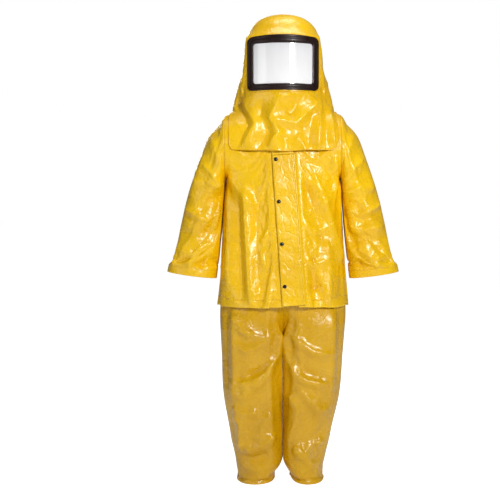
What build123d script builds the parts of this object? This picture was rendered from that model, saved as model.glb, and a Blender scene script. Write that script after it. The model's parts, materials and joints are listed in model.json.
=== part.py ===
"""Three-piece chemical protective suit: trousers, snap-front jacket and lift-off visor hood.

The suit stands as it is worn, on its trouser hems, facing -Y. The origin is on the floor midway
between the hems, +Z is up and +X is the wearer's left. All sizes are millimetres.
"""
from build123d import *
from math import cos, pi, radians, sin, sqrt
import os

# ---------------------------------------------------------------- driving dimensions
WALL = 2.0  # coated fabric and its lining, as one wall
SEAM = 0.2  # half of the line between neighbouring panels
REACH = 900.0  # longer than any piece, for cutting blocks
LEFT, RIGHT = 1, -1

# Trousers
HIP_LEVELS = [(585, 240, 147), (640, 243, 149), (760, 236, 147), (880, 214, 136), (1000, 180, 117)]
WAIST_TOP = 1025.0
LEG_LEVELS = [  # height, centre x, half width, half depth
    (0, 112, 58, 86), (100, 85, 79, 98), (230, 100, 96, 112), (400, 114, 111, 133), (600, 122, 118.5, 146),
]
TROUSER_HEM = 30.0

# Jacket body
HEM_Z, CHEST_Z = 682.0, 1220.0
HEM_HALF_DEPTH, CHEST_HALF_DEPTH = 165.0, 125.0
TORSO_WIDTHS = [(682, 252), (850, 238), (1000, 224), (1150, 212.5), (1220, 211)]
TORSO_CAP = (1268, 203, 116)
TORSO_POWER = 2.6
HEM_BAND = 25.0
SHOULDER_X = 213.0  # plane of each armhole seam
SHOULDER_Z = 1265.0  # centre of the armhole seam, and the axis that a sleeve swings about
ARMHOLE_R = 120.0
YOKE_SECTIONS = [(213, 120, 120), (150, 123, 144), (80, 124, 158), (0, 124, 162)]  # x, half depth, half height
NECK_X, NECK_Y = 84.0, 78.0
COLLAR_LOW, COLLAR_HIGH = 1380.0, 1452.0

# Front closure
LEAN = 4.0  # degrees that the closure leans across the front
CLOSURE_TOP, CLOSURE_X = 1232.0, -1.0
FLAP_HALF, FLAP_LENGTH, FLAP_GAP = 39.0, 547.0, 6.0
PLACKET_TOP_LENGTH = 50.0
UNDERLAP_EDGE, TAPE_EDGE = 34.0, 20.0
COIL_R, COIL_HEIGHT = 1.2, 2.2
SNAP_X, SNAP_FIRST, SNAP_PITCH, SNAPS = -26.0, -15.5, 153.5, 4
SNAP_CAP_R = 7.0
ZIP_TOP, ZIP_BOTTOM = -6.0, -540.0

# Sleeves, as sections from the armhole down: inner point, outer point, half depth
SLEEVE_SECTIONS = [
    ((214.5, 1145), (214.5, 1385), 120),
    ((217, 1132), (284, 1322), 109),
    ((218, 1116), (326, 1222), 92),
    ((222, 1078), (361, 1106), 81),
    ((231, 985), (386, 1000), 76),
    ((246, 880), (407, 890), 70),
    ((258, 798), (424.5, 820), 64),
]
CUFF_SECTION = ((262, 772), (430, 798), 62)

# Hood
BELL_LEVELS = [  # height, half width, half depth
    (1376, 206, 146), (1420, 200, 147), (1460, 189, 146), (1530, 169, 145), (1610, 141, 143), (1655, 133, 140),
]
DOME_HEIGHT = 95.0
SADDLE_SECTIONS = [  # x, half depth, top height, roundness
    (209, 129, 1394, 2.0), (150, 146, 1415, 2.6), (80, 151, 1430, 4.0), (0, 152, 1434, 5.0),
]
CAPE_FRONT_Z, CAPE_BACK_Z = 1240.0, 1200.0
CROWN_SEAM_Z = 1636.0
SEAM_TOP_X, SEAM_LOW_X = 100.0, 150.0  # seams beside the bib and the back panel

# Visor
VISOR_R, VISOR_AXIS_Y = 190.0, 27.0
VISOR_Z, VISOR_W, VISOR_H = 1554.0, 258.0, 188.0
WINDOW_W, WINDOW_H, WINDOW_WALL = 212.0, 142.0, 2.0
FRAME_WALL = 5.0

# Head harness: the back of the band is an arc about BAND_BACK_Y
BAND_X, BAND_FRONT, BAND_BACK_Y = 80.0, 118.0, 20.0
BAND_LOW, BAND_HIGH, BAND_WALL = 1592.0, 1616.0, 1.6
STRAP_TOP, STRAP_W = 1700.0, 22.0
SHELL_GAP, SHELL_WALL, SHELL_LOW = 0.6, 3.0, 1652.0
KNOB_R, KNOB_SHAFT_R, KNOB_FIT = 15.0, 3.0, 0.05

os.makedirs("parts", exist_ok=True)

# ================================================================ shared shapes


def save(builder, name):
    builder.part.label = name
    export_step(builder.part, f"parts/{name}.step")


def section(plane, half_x, half_y, power=2.0):
    """A rounded face: an ellipse at power 2 and boxier above it."""
    points = []
    for i in range(28):
        c, s = cos(2 * pi * i / 28), sin(2 * pi * i / 28)
        x = half_x * abs(c) ** (2 / power) * (1 if c >= 0 else -1)
        y = half_y * abs(s) ** (2 / power) * (1 if s >= 0 else -1)
        points.append((x, y))
    with BuildSketch(plane) as face:
        with BuildLine():
            Spline(*points, periodic=True)
        make_face()
    return face.sketch


def hoop(z, half_x, half_y, power=2.0, x=0.0, y=0.0):
    return section(Plane(origin=(x, y, z), x_dir=(1, 0, 0), z_dir=(0, 0, 1)), half_x, half_y, power)


def lofted(faces):
    with BuildPart() as form:
        for face in faces:
            add(face)
        loft(ruled=True)
    return form.part


def block(x, y, z):
    """A cutting box from three (low, high) pairs."""
    with BuildPart() as form:
        with Locations(tuple((low + high) / 2 for low, high in (x, y, z))):
            Box(*[high - low for low, high in (x, y, z)])
    return form.part


def wedge(top_x, low_x, top_z, low_z, y):
    """A cutting block across the suit, as wide as the two given half widths."""
    with BuildPart() as form:
        with BuildSketch(Plane.XZ):
            with BuildLine():
                Polyline((-top_x, top_z), (top_x, top_z), (low_x, low_z), (-low_x, low_z), close=True)
            make_face()
        extrude(amount=REACH, both=True)
        add(block((-REACH, REACH), y, (0, 2 * REACH)), mode=Mode.INTERSECT)
    return form.part


def cut(solid, keep=(), drop=()):
    """A piece of a solid: what is inside every block of keep and outside every block of drop."""
    with BuildPart() as piece:
        add(solid)
        for form in keep:
            add(form, mode=Mode.INTERSECT)
        for form in drop:
            add(form, mode=Mode.SUBTRACT)
    return piece


ALL = (-REACH, REACH)
FRONT, BACK = (-REACH, -SEAM), (SEAM, REACH)
SIDE_SPAN = {LEFT: (SEAM, REACH), RIGHT: (-REACH, -SEAM)}
SIDE_NAME = {LEFT: "left", RIGHT: "right"}

# ================================================================ trousers


def hips(inset, extend):
    faces = [hoop(z, a - inset, b - inset, 2.3) for z, a, b in HIP_LEVELS]
    faces.append(hoop(WAIST_TOP + extend, HIP_LEVELS[-1][1] - inset, HIP_LEVELS[-1][2] - inset, 2.3))
    return lofted(faces)


def leg(side, inset, extend):
    faces = [hoop(z, a - inset, b - inset, 2.2, side * x) for z, x, a, b in LEG_LEVELS]
    z, x, a, b = LEG_LEVELS[0]
    if extend:
        faces.insert(0, hoop(z - extend, a - inset, b - inset, 2.2, side * x))
    return lofted(faces)


with BuildPart() as trouser_shell:
    add(hips(0, 0))
    add(leg(LEFT, 0, 0))
    add(leg(RIGHT, 0, 0))
    add(hips(WALL, 5), mode=Mode.SUBTRACT)
    add(leg(LEFT, WALL, 5), mode=Mode.SUBTRACT)
    add(leg(RIGHT, WALL, 5), mode=Mode.SUBTRACT)

panel_span = (TROUSER_HEM + SEAM, HIP_LEVELS[-1][0] - SEAM)
for side in (LEFT, RIGHT):
    trouser_front = cut(trouser_shell.part, [block(SIDE_SPAN[side], FRONT, panel_span)])
    save(trouser_front, f"trouser_front_{SIDE_NAME[side]}")
    trouser_back = cut(trouser_shell.part, [block(SIDE_SPAN[side], BACK, panel_span)])
    save(trouser_back, f"trouser_back_{SIDE_NAME[side]}")
    trouser_hem = cut(trouser_shell.part, [block(SIDE_SPAN[side], ALL, (-1, TROUSER_HEM - SEAM))])
    save(trouser_hem, f"trouser_hem_{SIDE_NAME[side]}")

waistband = cut(trouser_shell.part, [block(ALL, ALL, (HIP_LEVELS[-1][0] + SEAM, WAIST_TOP + 1))])
save(waistband, "waistband")

WAIST_X, WAIST_Y = HIP_LEVELS[-1][1] - WALL - SEAM, HIP_LEVELS[-1][2] - WALL - SEAM
with BuildPart() as waist_elastic:
    add(hoop(HIP_LEVELS[-1][0] + 2, WAIST_X, WAIST_Y, 2.3))
    extrude(amount=20)
    add(hoop(HIP_LEVELS[-1][0] + 1, WAIST_X - 1.2, WAIST_Y - 1.2, 2.3))
    extrude(amount=22, mode=Mode.SUBTRACT)
save(waist_elastic, "waist_elastic")

# ================================================================ jacket


def front_depth(z):
    """Half depth of the jacket body, whose front hangs in a straight line from chest to hem."""
    return HEM_HALF_DEPTH + (z - HEM_Z) / (CHEST_Z - HEM_Z) * (CHEST_HALF_DEPTH - HEM_HALF_DEPTH)


def torso(inset, extend):
    faces = [hoop(z, a - inset, front_depth(z) - inset, TORSO_POWER) for z, a in TORSO_WIDTHS]
    if extend:
        z, a = TORSO_WIDTHS[0]
        faces.insert(0, hoop(z - extend, a - inset, front_depth(z) - inset, TORSO_POWER))
    z, a, b = TORSO_CAP
    faces.append(hoop(z, a - inset, b - inset, TORSO_POWER))
    return lofted(faces)


def yoke(inset, extend):
    """Shoulders, as a barrel lying across the suit between the two armholes."""
    stations = [(-x, b, h) for x, b, h in YOKE_SECTIONS] + [(x, b, h) for x, b, h in YOKE_SECTIONS[-2::-1]]
    faces = [
        section(Plane(origin=(x, 0, SHOULDER_Z), x_dir=(0, 1, 0), z_dir=(1, 0, 0)), b - inset, h - inset)
        for x, b, h in stations
    ]
    if extend:
        x, b, h = YOKE_SECTIONS[0]
        for end in (-x - extend, x + extend):
            plane = Plane(origin=(end, 0, SHOULDER_Z), x_dir=(0, 1, 0), z_dir=(1, 0, 0))
            faces.insert(0 if end < 0 else len(faces), section(plane, b - inset, h - inset))
    return lofted(faces)


with BuildPart() as neck_hole:
    add(hoop(1350, NECK_X, NECK_Y))
    extrude(amount=150)

with BuildPart() as jacket_shell:
    add(torso(0, 0))
    add(yoke(0, 0))
    add(torso(WALL, 5), mode=Mode.SUBTRACT)
    add(yoke(WALL, 5), mode=Mode.SUBTRACT)
    add(neck_hole.part, mode=Mode.SUBTRACT)

# The front closure has its own plane: x across it, y up it and z out of the chest.
rise = sqrt((HEM_HALF_DEPTH - CHEST_HALF_DEPTH) ** 2 + (CHEST_Z - HEM_Z) ** 2)
fall = (HEM_HALF_DEPTH - CHEST_HALF_DEPTH) / rise
climb = (CHEST_Z - HEM_Z) / rise
closure = Plane(
    origin=(CLOSURE_X, -front_depth(CLOSURE_TOP), CLOSURE_TOP),
    x_dir=(cos(radians(LEAN)), sin(radians(LEAN)) * fall, sin(radians(LEAN)) * climb),
    z_dir=(0, -climb, fall),
)


def strip(x, y, z):
    """A flat strip in the closure's own plane, from three (low, high) pairs."""
    with BuildPart(closure) as form:
        with Locations(((x[0] + x[1]) / 2, (y[0] + y[1]) / 2, z[0])):
            Box(x[1] - x[0], y[1] - y[0], z[1] - z[0], align=(Align.CENTER, Align.CENTER, Align.MIN))
    return form.part


slot = strip((-UNDERLAP_EDGE - SEAM, TAPE_EDGE + SEAM), (-REACH, PLACKET_TOP_LENGTH + SEAM), (-30, 30))
front_split = {
    LEFT: strip((SEAM, REACH), (-REACH, REACH), (-300, 300)),
    RIGHT: strip((-REACH, -SEAM), (-REACH, REACH), (-300, 300)),
}
seam_bar = strip((FLAP_HALF + 1.5, FLAP_HALF + 7), (-FLAP_LENGTH, PLACKET_TOP_LENGTH), (-6, FLAP_GAP))
for side in (LEFT, RIGHT):
    jacket_front = cut(
        jacket_shell.part,
        [block(ALL, FRONT, (0, 2000)), front_split[side]],
        [slot, seam_bar] if side == LEFT else [slot],
    )
    save(jacket_front, f"jacket_front_{SIDE_NAME[side]}")
jacket_back = cut(jacket_shell.part, [block(ALL, BACK, (0, 2000))])
save(jacket_back, "jacket_back")

with BuildPart() as jacket_collar:
    add(hoop(COLLAR_LOW, NECK_X - SEAM, NECK_Y - SEAM))
    extrude(amount=COLLAR_HIGH - COLLAR_LOW)
    add(hoop(COLLAR_LOW - 1, NECK_X - WALL, NECK_Y - WALL))
    extrude(amount=COLLAR_HIGH - COLLAR_LOW + 2, mode=Mode.SUBTRACT)
    add(block((-9, 9), (-REACH, 0), (1300, 1500)), mode=Mode.SUBTRACT)
save(jacket_collar, "jacket_collar")

HEM_X, HEM_Y = TORSO_WIDTHS[0][1] - WALL - 2.4, HEM_HALF_DEPTH - WALL - 2.4
with BuildPart() as jacket_hem:
    add(hoop(HEM_Z, HEM_X, HEM_Y, TORSO_POWER))
    extrude(amount=HEM_BAND)
    add(hoop(HEM_Z - 1, HEM_X - 1.2, HEM_Y - 1.2, TORSO_POWER))
    extrude(amount=HEM_BAND + 2, mode=Mode.SUBTRACT)
    add(slot, mode=Mode.SUBTRACT)
save(jacket_hem, "jacket_hem")

with BuildPart() as hanger_loop:
    with BuildSketch(Plane.YZ):
        with Locations((NECK_Y - 8, COLLAR_HIGH - 16)):
            RectangleRounded(6, 26, 2)
            RectangleRounded(4.4, 24.4, 1.2, mode=Mode.SUBTRACT)
    extrude(amount=4, both=True)
save(hanger_loop, "hanger_loop")

for side in (LEFT, RIGHT):
    with BuildPart() as armhole_binding:
        with BuildSketch(Plane.YZ.offset(side * SHOULDER_X)):
            with Locations((0, SHOULDER_Z)):
                Circle(ARMHOLE_R - WALL - SEAM)
                Circle(ARMHOLE_R - WALL - SEAM - 2, mode=Mode.SUBTRACT)
        extrude(amount=-side * 8)
    save(armhole_binding, f"armhole_binding_{SIDE_NAME[side]}")

# ---------------------------------------------------------------- front closure
closure_low = -FLAP_LENGTH + 2
closure_span = (closure_low, PLACKET_TOP_LENGTH)

zipper_tape_left = cut(strip((0.3, TAPE_EDGE - SEAM), closure_span, (-1, 0.8)))
zipper_tape_right = cut(strip((-TAPE_EDGE + SEAM, -0.3), closure_span, (-1, 0.8)))
save(zipper_tape_left, "zipper_tape_left")
save(zipper_tape_right, "zipper_tape_right")

with BuildPart(closure) as zipper_coil:
    with Locations((0, ZIP_TOP, COIL_HEIGHT)):
        Cylinder(COIL_R, ZIP_TOP - ZIP_BOTTOM, rotation=(90, 0, 0), align=(Align.CENTER, Align.CENTER, Align.MIN))
save(zipper_coil, "zipper_coil")

placket_underlap = cut(strip((-UNDERLAP_EDGE, -TAPE_EDGE - SEAM), closure_span, (-1, 0.8)))
save(placket_underlap, "placket_underlap")

flap_seam = cut(strip((FLAP_HALF + 1.7, FLAP_HALF + 6.8), (-FLAP_LENGTH, -0.5), (-1, FLAP_GAP - 0.2)))
save(flap_seam, "flap_seam")

placket_top = cut(strip((-FLAP_HALF, FLAP_HALF), (0.5, PLACKET_TOP_LENGTH), (FLAP_GAP, FLAP_GAP + WALL)))
save(placket_top, "placket_top")

snap_rows = [SNAP_FIRST - SNAP_PITCH * i for i in range(SNAPS)]
storm_holes = [
    closure * Pos(SNAP_X, y, FLAP_GAP + 1) * Cylinder(2.4, 3 * WALL)
    for y in snap_rows
]
storm_form = strip((-FLAP_HALF, FLAP_HALF - 0.4), (-FLAP_LENGTH, -0.5), (FLAP_GAP, FLAP_GAP + WALL))
storm_flap = cut(storm_form, (), storm_holes)
save(storm_flap, "storm_flap")

for number, y in enumerate(snap_rows, 1):
    with BuildPart(closure) as snap_cap:
        with Locations((SNAP_X, y, FLAP_GAP + WALL + 0.1)):
            Cylinder(SNAP_CAP_R, 2.4, align=(Align.CENTER, Align.CENTER, Align.MIN))
        with Locations((SNAP_X, y, FLAP_GAP - 1.4)):
            Cylinder(2.2, 4.0, align=(Align.CENTER, Align.CENTER, Align.MIN))
            Cylinder(5.5, 1.2, align=(Align.CENTER, Align.CENTER, Align.MIN))
    save(snap_cap, f"snap_cap_{number}")
    with BuildPart(closure) as snap_stud:
        with Locations((SNAP_X, y, 0.8)):
            Cylinder(5.5, 1.2, align=(Align.CENTER, Align.CENTER, Align.MIN))
            Cylinder(2.0, 3.2, align=(Align.CENTER, Align.CENTER, Align.MIN))
    save(snap_stud, f"snap_stud_{number}")

with BuildPart(closure) as zipper_slider:
    with Locations((0, ZIP_TOP, 1.3)):
        Box(7.2, 12, 3.9, align=(Align.CENTER, Align.MAX, Align.MIN))
        Box(3.6, 40, 2.6, align=(Align.CENTER, Align.CENTER, Align.MIN), mode=Mode.SUBTRACT)
save(zipper_slider, "zipper_slider")

with BuildPart(closure) as zipper_pull:
    with Locations((0, ZIP_TOP - 8, 5.2)):
        Box(4, 24, 0.4, align=(Align.CENTER, Align.MAX, Align.MIN))
save(zipper_pull, "zipper_pull")

# ================================================================ sleeves


def tilted(side, inner, outer, half_depth, inset):
    """One sleeve section, on the plane through its inner and outer points."""
    run = (outer[0] - inner[0], outer[1] - inner[1])
    width = sqrt(run[0] ** 2 + run[1] ** 2)
    middle = (side * (inner[0] + outer[0]) / 2, 0, (inner[1] + outer[1]) / 2)
    across = (side * run[0] / width, 0, run[1] / width)
    along = (-side * run[1] / width, 0, run[0] / width)
    plane = Plane(origin=middle, x_dir=across, z_dir=along)
    return section(plane, width / 2 - inset, half_depth - inset)


def tube(side, stations, inset):
    return lofted([tilted(side, inner, outer, depth, inset) for inner, outer, depth in stations])


def shifted(station, dx, dz):
    (ax, az), (bx, bz), depth = station
    return (ax + dx, az + dz), (bx + dx, bz + dz), depth


for side in (LEFT, RIGHT):
    armhole_end = shifted(SLEEVE_SECTIONS[0], -4, 0)
    cuff_end = shifted(SLEEVE_SECTIONS[-1], 0.5, -4)
    with BuildPart() as sleeve:
        add(tube(side, SLEEVE_SECTIONS, 0))
        add(tube(side, [armhole_end, *SLEEVE_SECTIONS, cuff_end], WALL), mode=Mode.SUBTRACT)
    save(sleeve, f"sleeve_{SIDE_NAME[side]}")
    hem_top = shifted(SLEEVE_SECTIONS[-1], 0.1, -0.4)
    with BuildPart() as sleeve_hem:
        add(tube(side, [hem_top, CUFF_SECTION], 0))
        add(tube(side, [shifted(hem_top, -0.8, 4), hem_top, CUFF_SECTION, shifted(CUFF_SECTION, 0.6, -4)], WALL),
            mode=Mode.SUBTRACT)
    save(sleeve_hem, f"sleeve_hem_{SIDE_NAME[side]}")

# ================================================================ hood


def bell(inset, low):
    """The hood from the shoulders to the top of its dome."""
    faces = [hoop(z - (low if i == 0 else 0), a - inset, b - inset) for i, (z, a, b) in enumerate(BELL_LEVELS)]
    z, a, b = BELL_LEVELS[-1]
    for share in (0.4, 0.68, 0.87, 0.975):
        shrink = sqrt(1 - share**2)
        faces.append(hoop(z + (DOME_HEIGHT - inset) * share, (a - inset) * shrink, (b - inset) * shrink))
    faces.append(hoop(z + DOME_HEIGHT - inset, 10, 10))
    return lofted(faces)


def saddle_section(x, half_depth, top, power, inset):
    """An upside-down U over the shoulder, closed far below the hem."""
    points = []
    for i in range(15):
        c, s = cos(pi * i / 14), sin(pi * i / 14)
        y = (half_depth - inset) * abs(c) ** (2 / power) * (1 if c >= 0 else -1)
        points.append((y, SHOULDER_Z + (top - SHOULDER_Z - inset) * s ** (2 / power)))
    with BuildSketch(Plane.YZ.offset(x)) as face:
        with BuildLine():
            Spline(*points)
            Polyline(points[-1], (points[-1][0], 1150), (points[0][0], 1150), points[0])
        make_face()
    return face.sketch


def saddle(inset, extend):
    stations = [(-x, b, t, p) for x, b, t, p in SADDLE_SECTIONS]
    stations += [(x, b, t, p) for x, b, t, p in SADDLE_SECTIONS[-2::-1]]
    if extend:
        x, b, t, p = SADDLE_SECTIONS[0]
        stations = [(-x - extend, b, t, p), *stations, (x + extend, b, t, p)]
    return lofted([saddle_section(x, b, t, p, inset) for x, b, t, p in stations])


def visor_face(width, height, corner):
    """A block through the front of the hood, as wide and high as one layer of the visor."""
    with BuildPart() as form:
        with BuildSketch(Plane.XZ):
            with Locations((0, VISOR_Z)):
                RectangleRounded(width, height, corner)
        extrude(amount=400)
    return form.part


def visor_layer(outer_r, wall, width, height, corner, opening=None):
    """One curved layer of the visor, bent about the vertical visor axis."""
    with BuildPart() as layer:
        with Locations((0, VISOR_AXIS_Y, VISOR_Z)):
            Cylinder(outer_r, 400)
            Cylinder(outer_r - wall, 410, mode=Mode.SUBTRACT)
        add(visor_face(width, height, corner), mode=Mode.INTERSECT)
        if opening:
            add(visor_face(*opening), mode=Mode.SUBTRACT)
    return layer


SEAL_W, SEAL_H = VISOR_W - 8, VISOR_H - 8
with BuildPart() as hood_shell:
    add(bell(0, 0))
    add(saddle(0, 0))
    add(bell(WALL, 10), mode=Mode.SUBTRACT)
    add(saddle(WALL, 5), mode=Mode.SUBTRACT)
    add(block(ALL, (-REACH, 0), (0, CAPE_FRONT_Z)), mode=Mode.SUBTRACT)
    add(block(ALL, ALL, (0, CAPE_BACK_Z)), mode=Mode.SUBTRACT)
    add(visor_face(SEAL_W + 1, SEAL_H + 1, 20), mode=Mode.SUBTRACT)

below_crown = (0, CROWN_SEAM_Z - SEAM)
hood_crown = cut(hood_shell.part, [block(ALL, ALL, (CROWN_SEAM_Z + SEAM, 2000))])
save(hood_crown, "hood_crown")
middle_front = wedge(SEAM_TOP_X - SEAM, SEAM_LOW_X - SEAM, CROWN_SEAM_Z - SEAM, 1150, (-REACH, -SEAM))
middle_back = wedge(SEAM_TOP_X - SEAM, SEAM_LOW_X - SEAM, CROWN_SEAM_Z - SEAM, 1150, (SEAM, REACH))
outside = wedge(SEAM_TOP_X + SEAM, SEAM_LOW_X + SEAM, CROWN_SEAM_Z + SEAM, 1150, ALL)
hood_bib = cut(hood_shell.part, [middle_front])
save(hood_bib, "hood_bib")
hood_back = cut(hood_shell.part, [middle_back])
save(hood_back, "hood_back")
for side in (LEFT, RIGHT):
    hood_side = cut(hood_shell.part, [block(SIDE_SPAN[side], ALL, below_crown)], [outside])
    save(hood_side, f"hood_side_{SIDE_NAME[side]}")

with BuildPart() as crown_shell:
    add(bell(WALL + SHELL_GAP, 0))
    add(bell(WALL + SHELL_GAP + SHELL_WALL, 10), mode=Mode.SUBTRACT)
    add(block(ALL, ALL, (SHELL_LOW, 2000)), mode=Mode.INTERSECT)
save(crown_shell, "crown_shell")

# ---------------------------------------------------------------- visor
WINDOW_EDGE = 16
back_r = VISOR_R - FRAME_WALL
visor_frame = visor_layer(VISOR_R, FRAME_WALL, VISOR_W, VISOR_H, 24, (WINDOW_W, WINDOW_H, 14))
save(visor_frame, "visor_frame")
window_size = (WINDOW_W + WINDOW_EDGE, WINDOW_H + WINDOW_EDGE)
visor_window = visor_layer(back_r - 0.1, WINDOW_WALL, *window_size, 18)
save(visor_window, "visor_window")
seal_r = back_r - 0.1 - WINDOW_WALL - 0.1
visor_seal = visor_layer(seal_r, 3, SEAL_W, SEAL_H, 20, (WINDOW_W + 2, WINDOW_H + 2, 14))
save(visor_seal, "visor_seal")
visor_retainer = visor_layer(seal_r - 3.1, 2, SEAL_W, SEAL_H, 20, (WINDOW_W + 4, WINDOW_H + 4, 14))
save(visor_retainer, "visor_retainer")

# ---------------------------------------------------------------- head harness
BAND_SPAN = BAND_HIGH - BAND_LOW


def band_outline(z, height, grow):
    """A head shape: a half circle behind and a half ellipse in front."""
    with BuildPart() as form:
        with BuildSketch(Plane.XY.offset(z)):
            with Locations((0, BAND_BACK_Y)):
                Circle(BAND_X + grow)
                Rectangle(400, 400, align=(Align.CENTER, Align.MAX), mode=Mode.SUBTRACT)
            with Locations((0, BAND_BACK_Y)):
                Ellipse(BAND_X + grow, BAND_FRONT + grow)
        extrude(amount=height)
    return form.part


back_cut = block((-62, 62), (BAND_BACK_Y + 40, 300), (1500, 1700))
with BuildPart() as headband:
    add(band_outline(BAND_LOW, BAND_SPAN, 0))
    add(band_outline(BAND_LOW - 1, BAND_SPAN + 2, -BAND_WALL), mode=Mode.SUBTRACT)
    add(back_cut, mode=Mode.SUBTRACT)
    add(block(ALL, (BAND_BACK_Y + 2, 300), (1500, 1700)), mode=Mode.SUBTRACT)
save(headband, "headband")

with BuildPart() as sweatband:
    add(band_outline(BAND_LOW - 3, BAND_SPAN + 6, -BAND_WALL - 0.2))
    add(band_outline(BAND_LOW - 4, BAND_SPAN + 8, -BAND_WALL - 6), mode=Mode.SUBTRACT)
    add(block(ALL, (-50, 300), (1500, 1700)), mode=Mode.SUBTRACT)
save(sweatband, "sweatband")


def arch(half_span, low, top, centre):
    """Outline of a strap over the head, as a half ellipse."""
    points = []
    for i in range(13):
        angle = pi * i / 12
        points.append((centre + half_span * cos(angle), low + (top - low) * sin(angle)))
    return points


def strap(plane, half_span, top, centre):
    low = BAND_HIGH + 0.3
    with BuildPart() as form:
        with BuildSketch(plane):
            with BuildLine():
                Spline(*arch(half_span, low, top, centre))
                Line((centre - half_span, low), (centre + half_span, low))
            make_face()
            with BuildLine():
                Spline(*arch(half_span - 1.6, low, top - 1.6, centre))
                Line((centre - half_span + 1.6, low), (centre + half_span - 1.6, low))
            make_face(mode=Mode.SUBTRACT)
        extrude(amount=STRAP_W / 2, both=True)
    return form


band_front_y = BAND_BACK_Y - BAND_FRONT
band_back_y = BAND_BACK_Y + BAND_X
strap_half = (band_back_y - band_front_y) / 2
crown_strap_long = strap(Plane.YZ, strap_half, STRAP_TOP, (band_back_y + band_front_y) / 2)
save(crown_strap_long, "crown_strap_long")
crown_strap_cross = strap(Plane.XZ, BAND_X, STRAP_TOP - 2.2, 0)
save(crown_strap_cross, "crown_strap_cross")

for name, angle in (("front_left", -45), ("front_right", -135), ("back_right", 135), ("back_left", 45)):
    reach_in = 90 if angle < 0 else 84
    reach_out = 122
    with BuildPart(Plane.XY.rotated((0, 0, angle))) as harness_clip:
        with Locations(((reach_in + reach_out) / 2, 0, BAND_HIGH + 1.8)):
            Box(reach_out - reach_in, 14, 3)
        with Locations((reach_out, 0, BAND_HIGH + 0.3)):
            Box(3, 14, 36, align=(Align.CENTER, Align.CENTER, Align.MIN))
    save(harness_clip, f"harness_clip_{name}")

TAIL_WALL = 1.2
tail_inner = {LEFT: BAND_X + 0.4, RIGHT: BAND_X + 0.4 + TAIL_WALL + 0.8}
KNOB_Z = (BAND_LOW + BAND_HIGH) / 2
for side in (LEFT, RIGHT):
    with BuildPart() as band_tail:
        with BuildSketch(Plane.XY.offset(BAND_LOW + 4)):
            with Locations((0, BAND_BACK_Y)):
                Circle(tail_inner[side] + TAIL_WALL)
                Circle(tail_inner[side], mode=Mode.SUBTRACT)
                with BuildLine(mode=Mode.PRIVATE) as sector:
                    Polyline((0, 0), (side * 300, 60), (side * 300, 300), (-side * 60, 300), close=True)
                add(make_face(sector.edges(), mode=Mode.PRIVATE), mode=Mode.INTERSECT)
        extrude(amount=BAND_SPAN - 8)
    save(band_tail, f"band_tail_{SIDE_NAME[side]}")

with BuildPart() as ratchet_housing:
    with Locations((0, band_back_y + 2.5, KNOB_Z)):
        Box(56, 15, BAND_SPAN)
    with Locations((0, BAND_BACK_Y, KNOB_Z)):
        Cylinder(tail_inner[RIGHT] + TAIL_WALL + 0.4, BAND_SPAN - 7.2, mode=Mode.SUBTRACT)
    with Locations((0, band_back_y - 10, KNOB_Z)):
        Box(70, 14, BAND_SPAN + 10, mode=Mode.SUBTRACT)
    with Locations((0, band_back_y + 8, KNOB_Z)):
        Cylinder(KNOB_SHAFT_R + KNOB_FIT, 14, rotation=(90, 0, 0), mode=Mode.SUBTRACT)
save(ratchet_housing, "ratchet_housing")

with BuildPart() as ratchet_knob:
    with Locations((0, band_back_y + 11, KNOB_Z)):
        Cylinder(KNOB_R, 9, rotation=(-90, 0, 0), align=(Align.CENTER, Align.CENTER, Align.MIN))
    with Locations((0, band_back_y + 6.5, KNOB_Z)):
        Cylinder(KNOB_SHAFT_R, 5, rotation=(-90, 0, 0), align=(Align.CENTER, Align.CENTER, Align.MIN))
save(ratchet_knob, "ratchet_knob")
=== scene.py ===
"""Looks of the chemical protective suit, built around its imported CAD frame. All sizes are metres.

The suit faces -Y with +Z up. Each garment starts as a smooth grid of its cut shape, gets its named
folds, is draped by a short cloth simulation, is creased, and is then split at its seams into panels.
"""

import json
import math

import bpy
import numpy as np
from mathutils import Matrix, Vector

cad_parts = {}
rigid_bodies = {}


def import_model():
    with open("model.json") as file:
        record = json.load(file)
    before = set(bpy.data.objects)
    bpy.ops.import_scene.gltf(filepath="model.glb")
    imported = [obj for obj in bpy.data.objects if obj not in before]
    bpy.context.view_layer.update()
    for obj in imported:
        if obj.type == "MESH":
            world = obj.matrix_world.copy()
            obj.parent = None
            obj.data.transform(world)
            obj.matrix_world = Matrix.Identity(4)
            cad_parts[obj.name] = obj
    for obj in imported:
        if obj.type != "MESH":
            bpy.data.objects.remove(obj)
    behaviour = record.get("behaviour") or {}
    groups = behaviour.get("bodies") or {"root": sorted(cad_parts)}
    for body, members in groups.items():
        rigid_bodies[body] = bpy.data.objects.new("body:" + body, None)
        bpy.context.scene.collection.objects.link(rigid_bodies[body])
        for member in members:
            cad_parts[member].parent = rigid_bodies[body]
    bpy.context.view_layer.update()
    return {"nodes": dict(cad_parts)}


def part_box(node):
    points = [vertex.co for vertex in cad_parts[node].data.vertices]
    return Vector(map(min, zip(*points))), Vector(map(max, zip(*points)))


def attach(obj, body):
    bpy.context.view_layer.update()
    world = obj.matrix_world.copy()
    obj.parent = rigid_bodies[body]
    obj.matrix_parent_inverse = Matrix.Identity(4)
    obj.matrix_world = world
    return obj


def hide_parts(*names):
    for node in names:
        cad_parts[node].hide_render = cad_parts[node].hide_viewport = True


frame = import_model()
LEFT, RIGHT = 1, -1
SIDE_NAME = {LEFT: "left", RIGHT: "right"}

# ---------------------------------------------------------------- materials


def new_material(name):
    made = bpy.data.materials.new(name)
    made.use_nodes = True
    tree = made.node_tree
    shader = tree.nodes["Principled BSDF"]
    return made, tree, shader


def add_node(tree, kind, **settings):
    node = tree.nodes.new("ShaderNode" + kind)
    for key, value in settings.items():
        if key in node.inputs:
            node.inputs[key].default_value = value
        else:
            setattr(node, key, value)
    return node


def object_coords(tree):
    return add_node(tree, "TexCoord").outputs["Object"]


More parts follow.
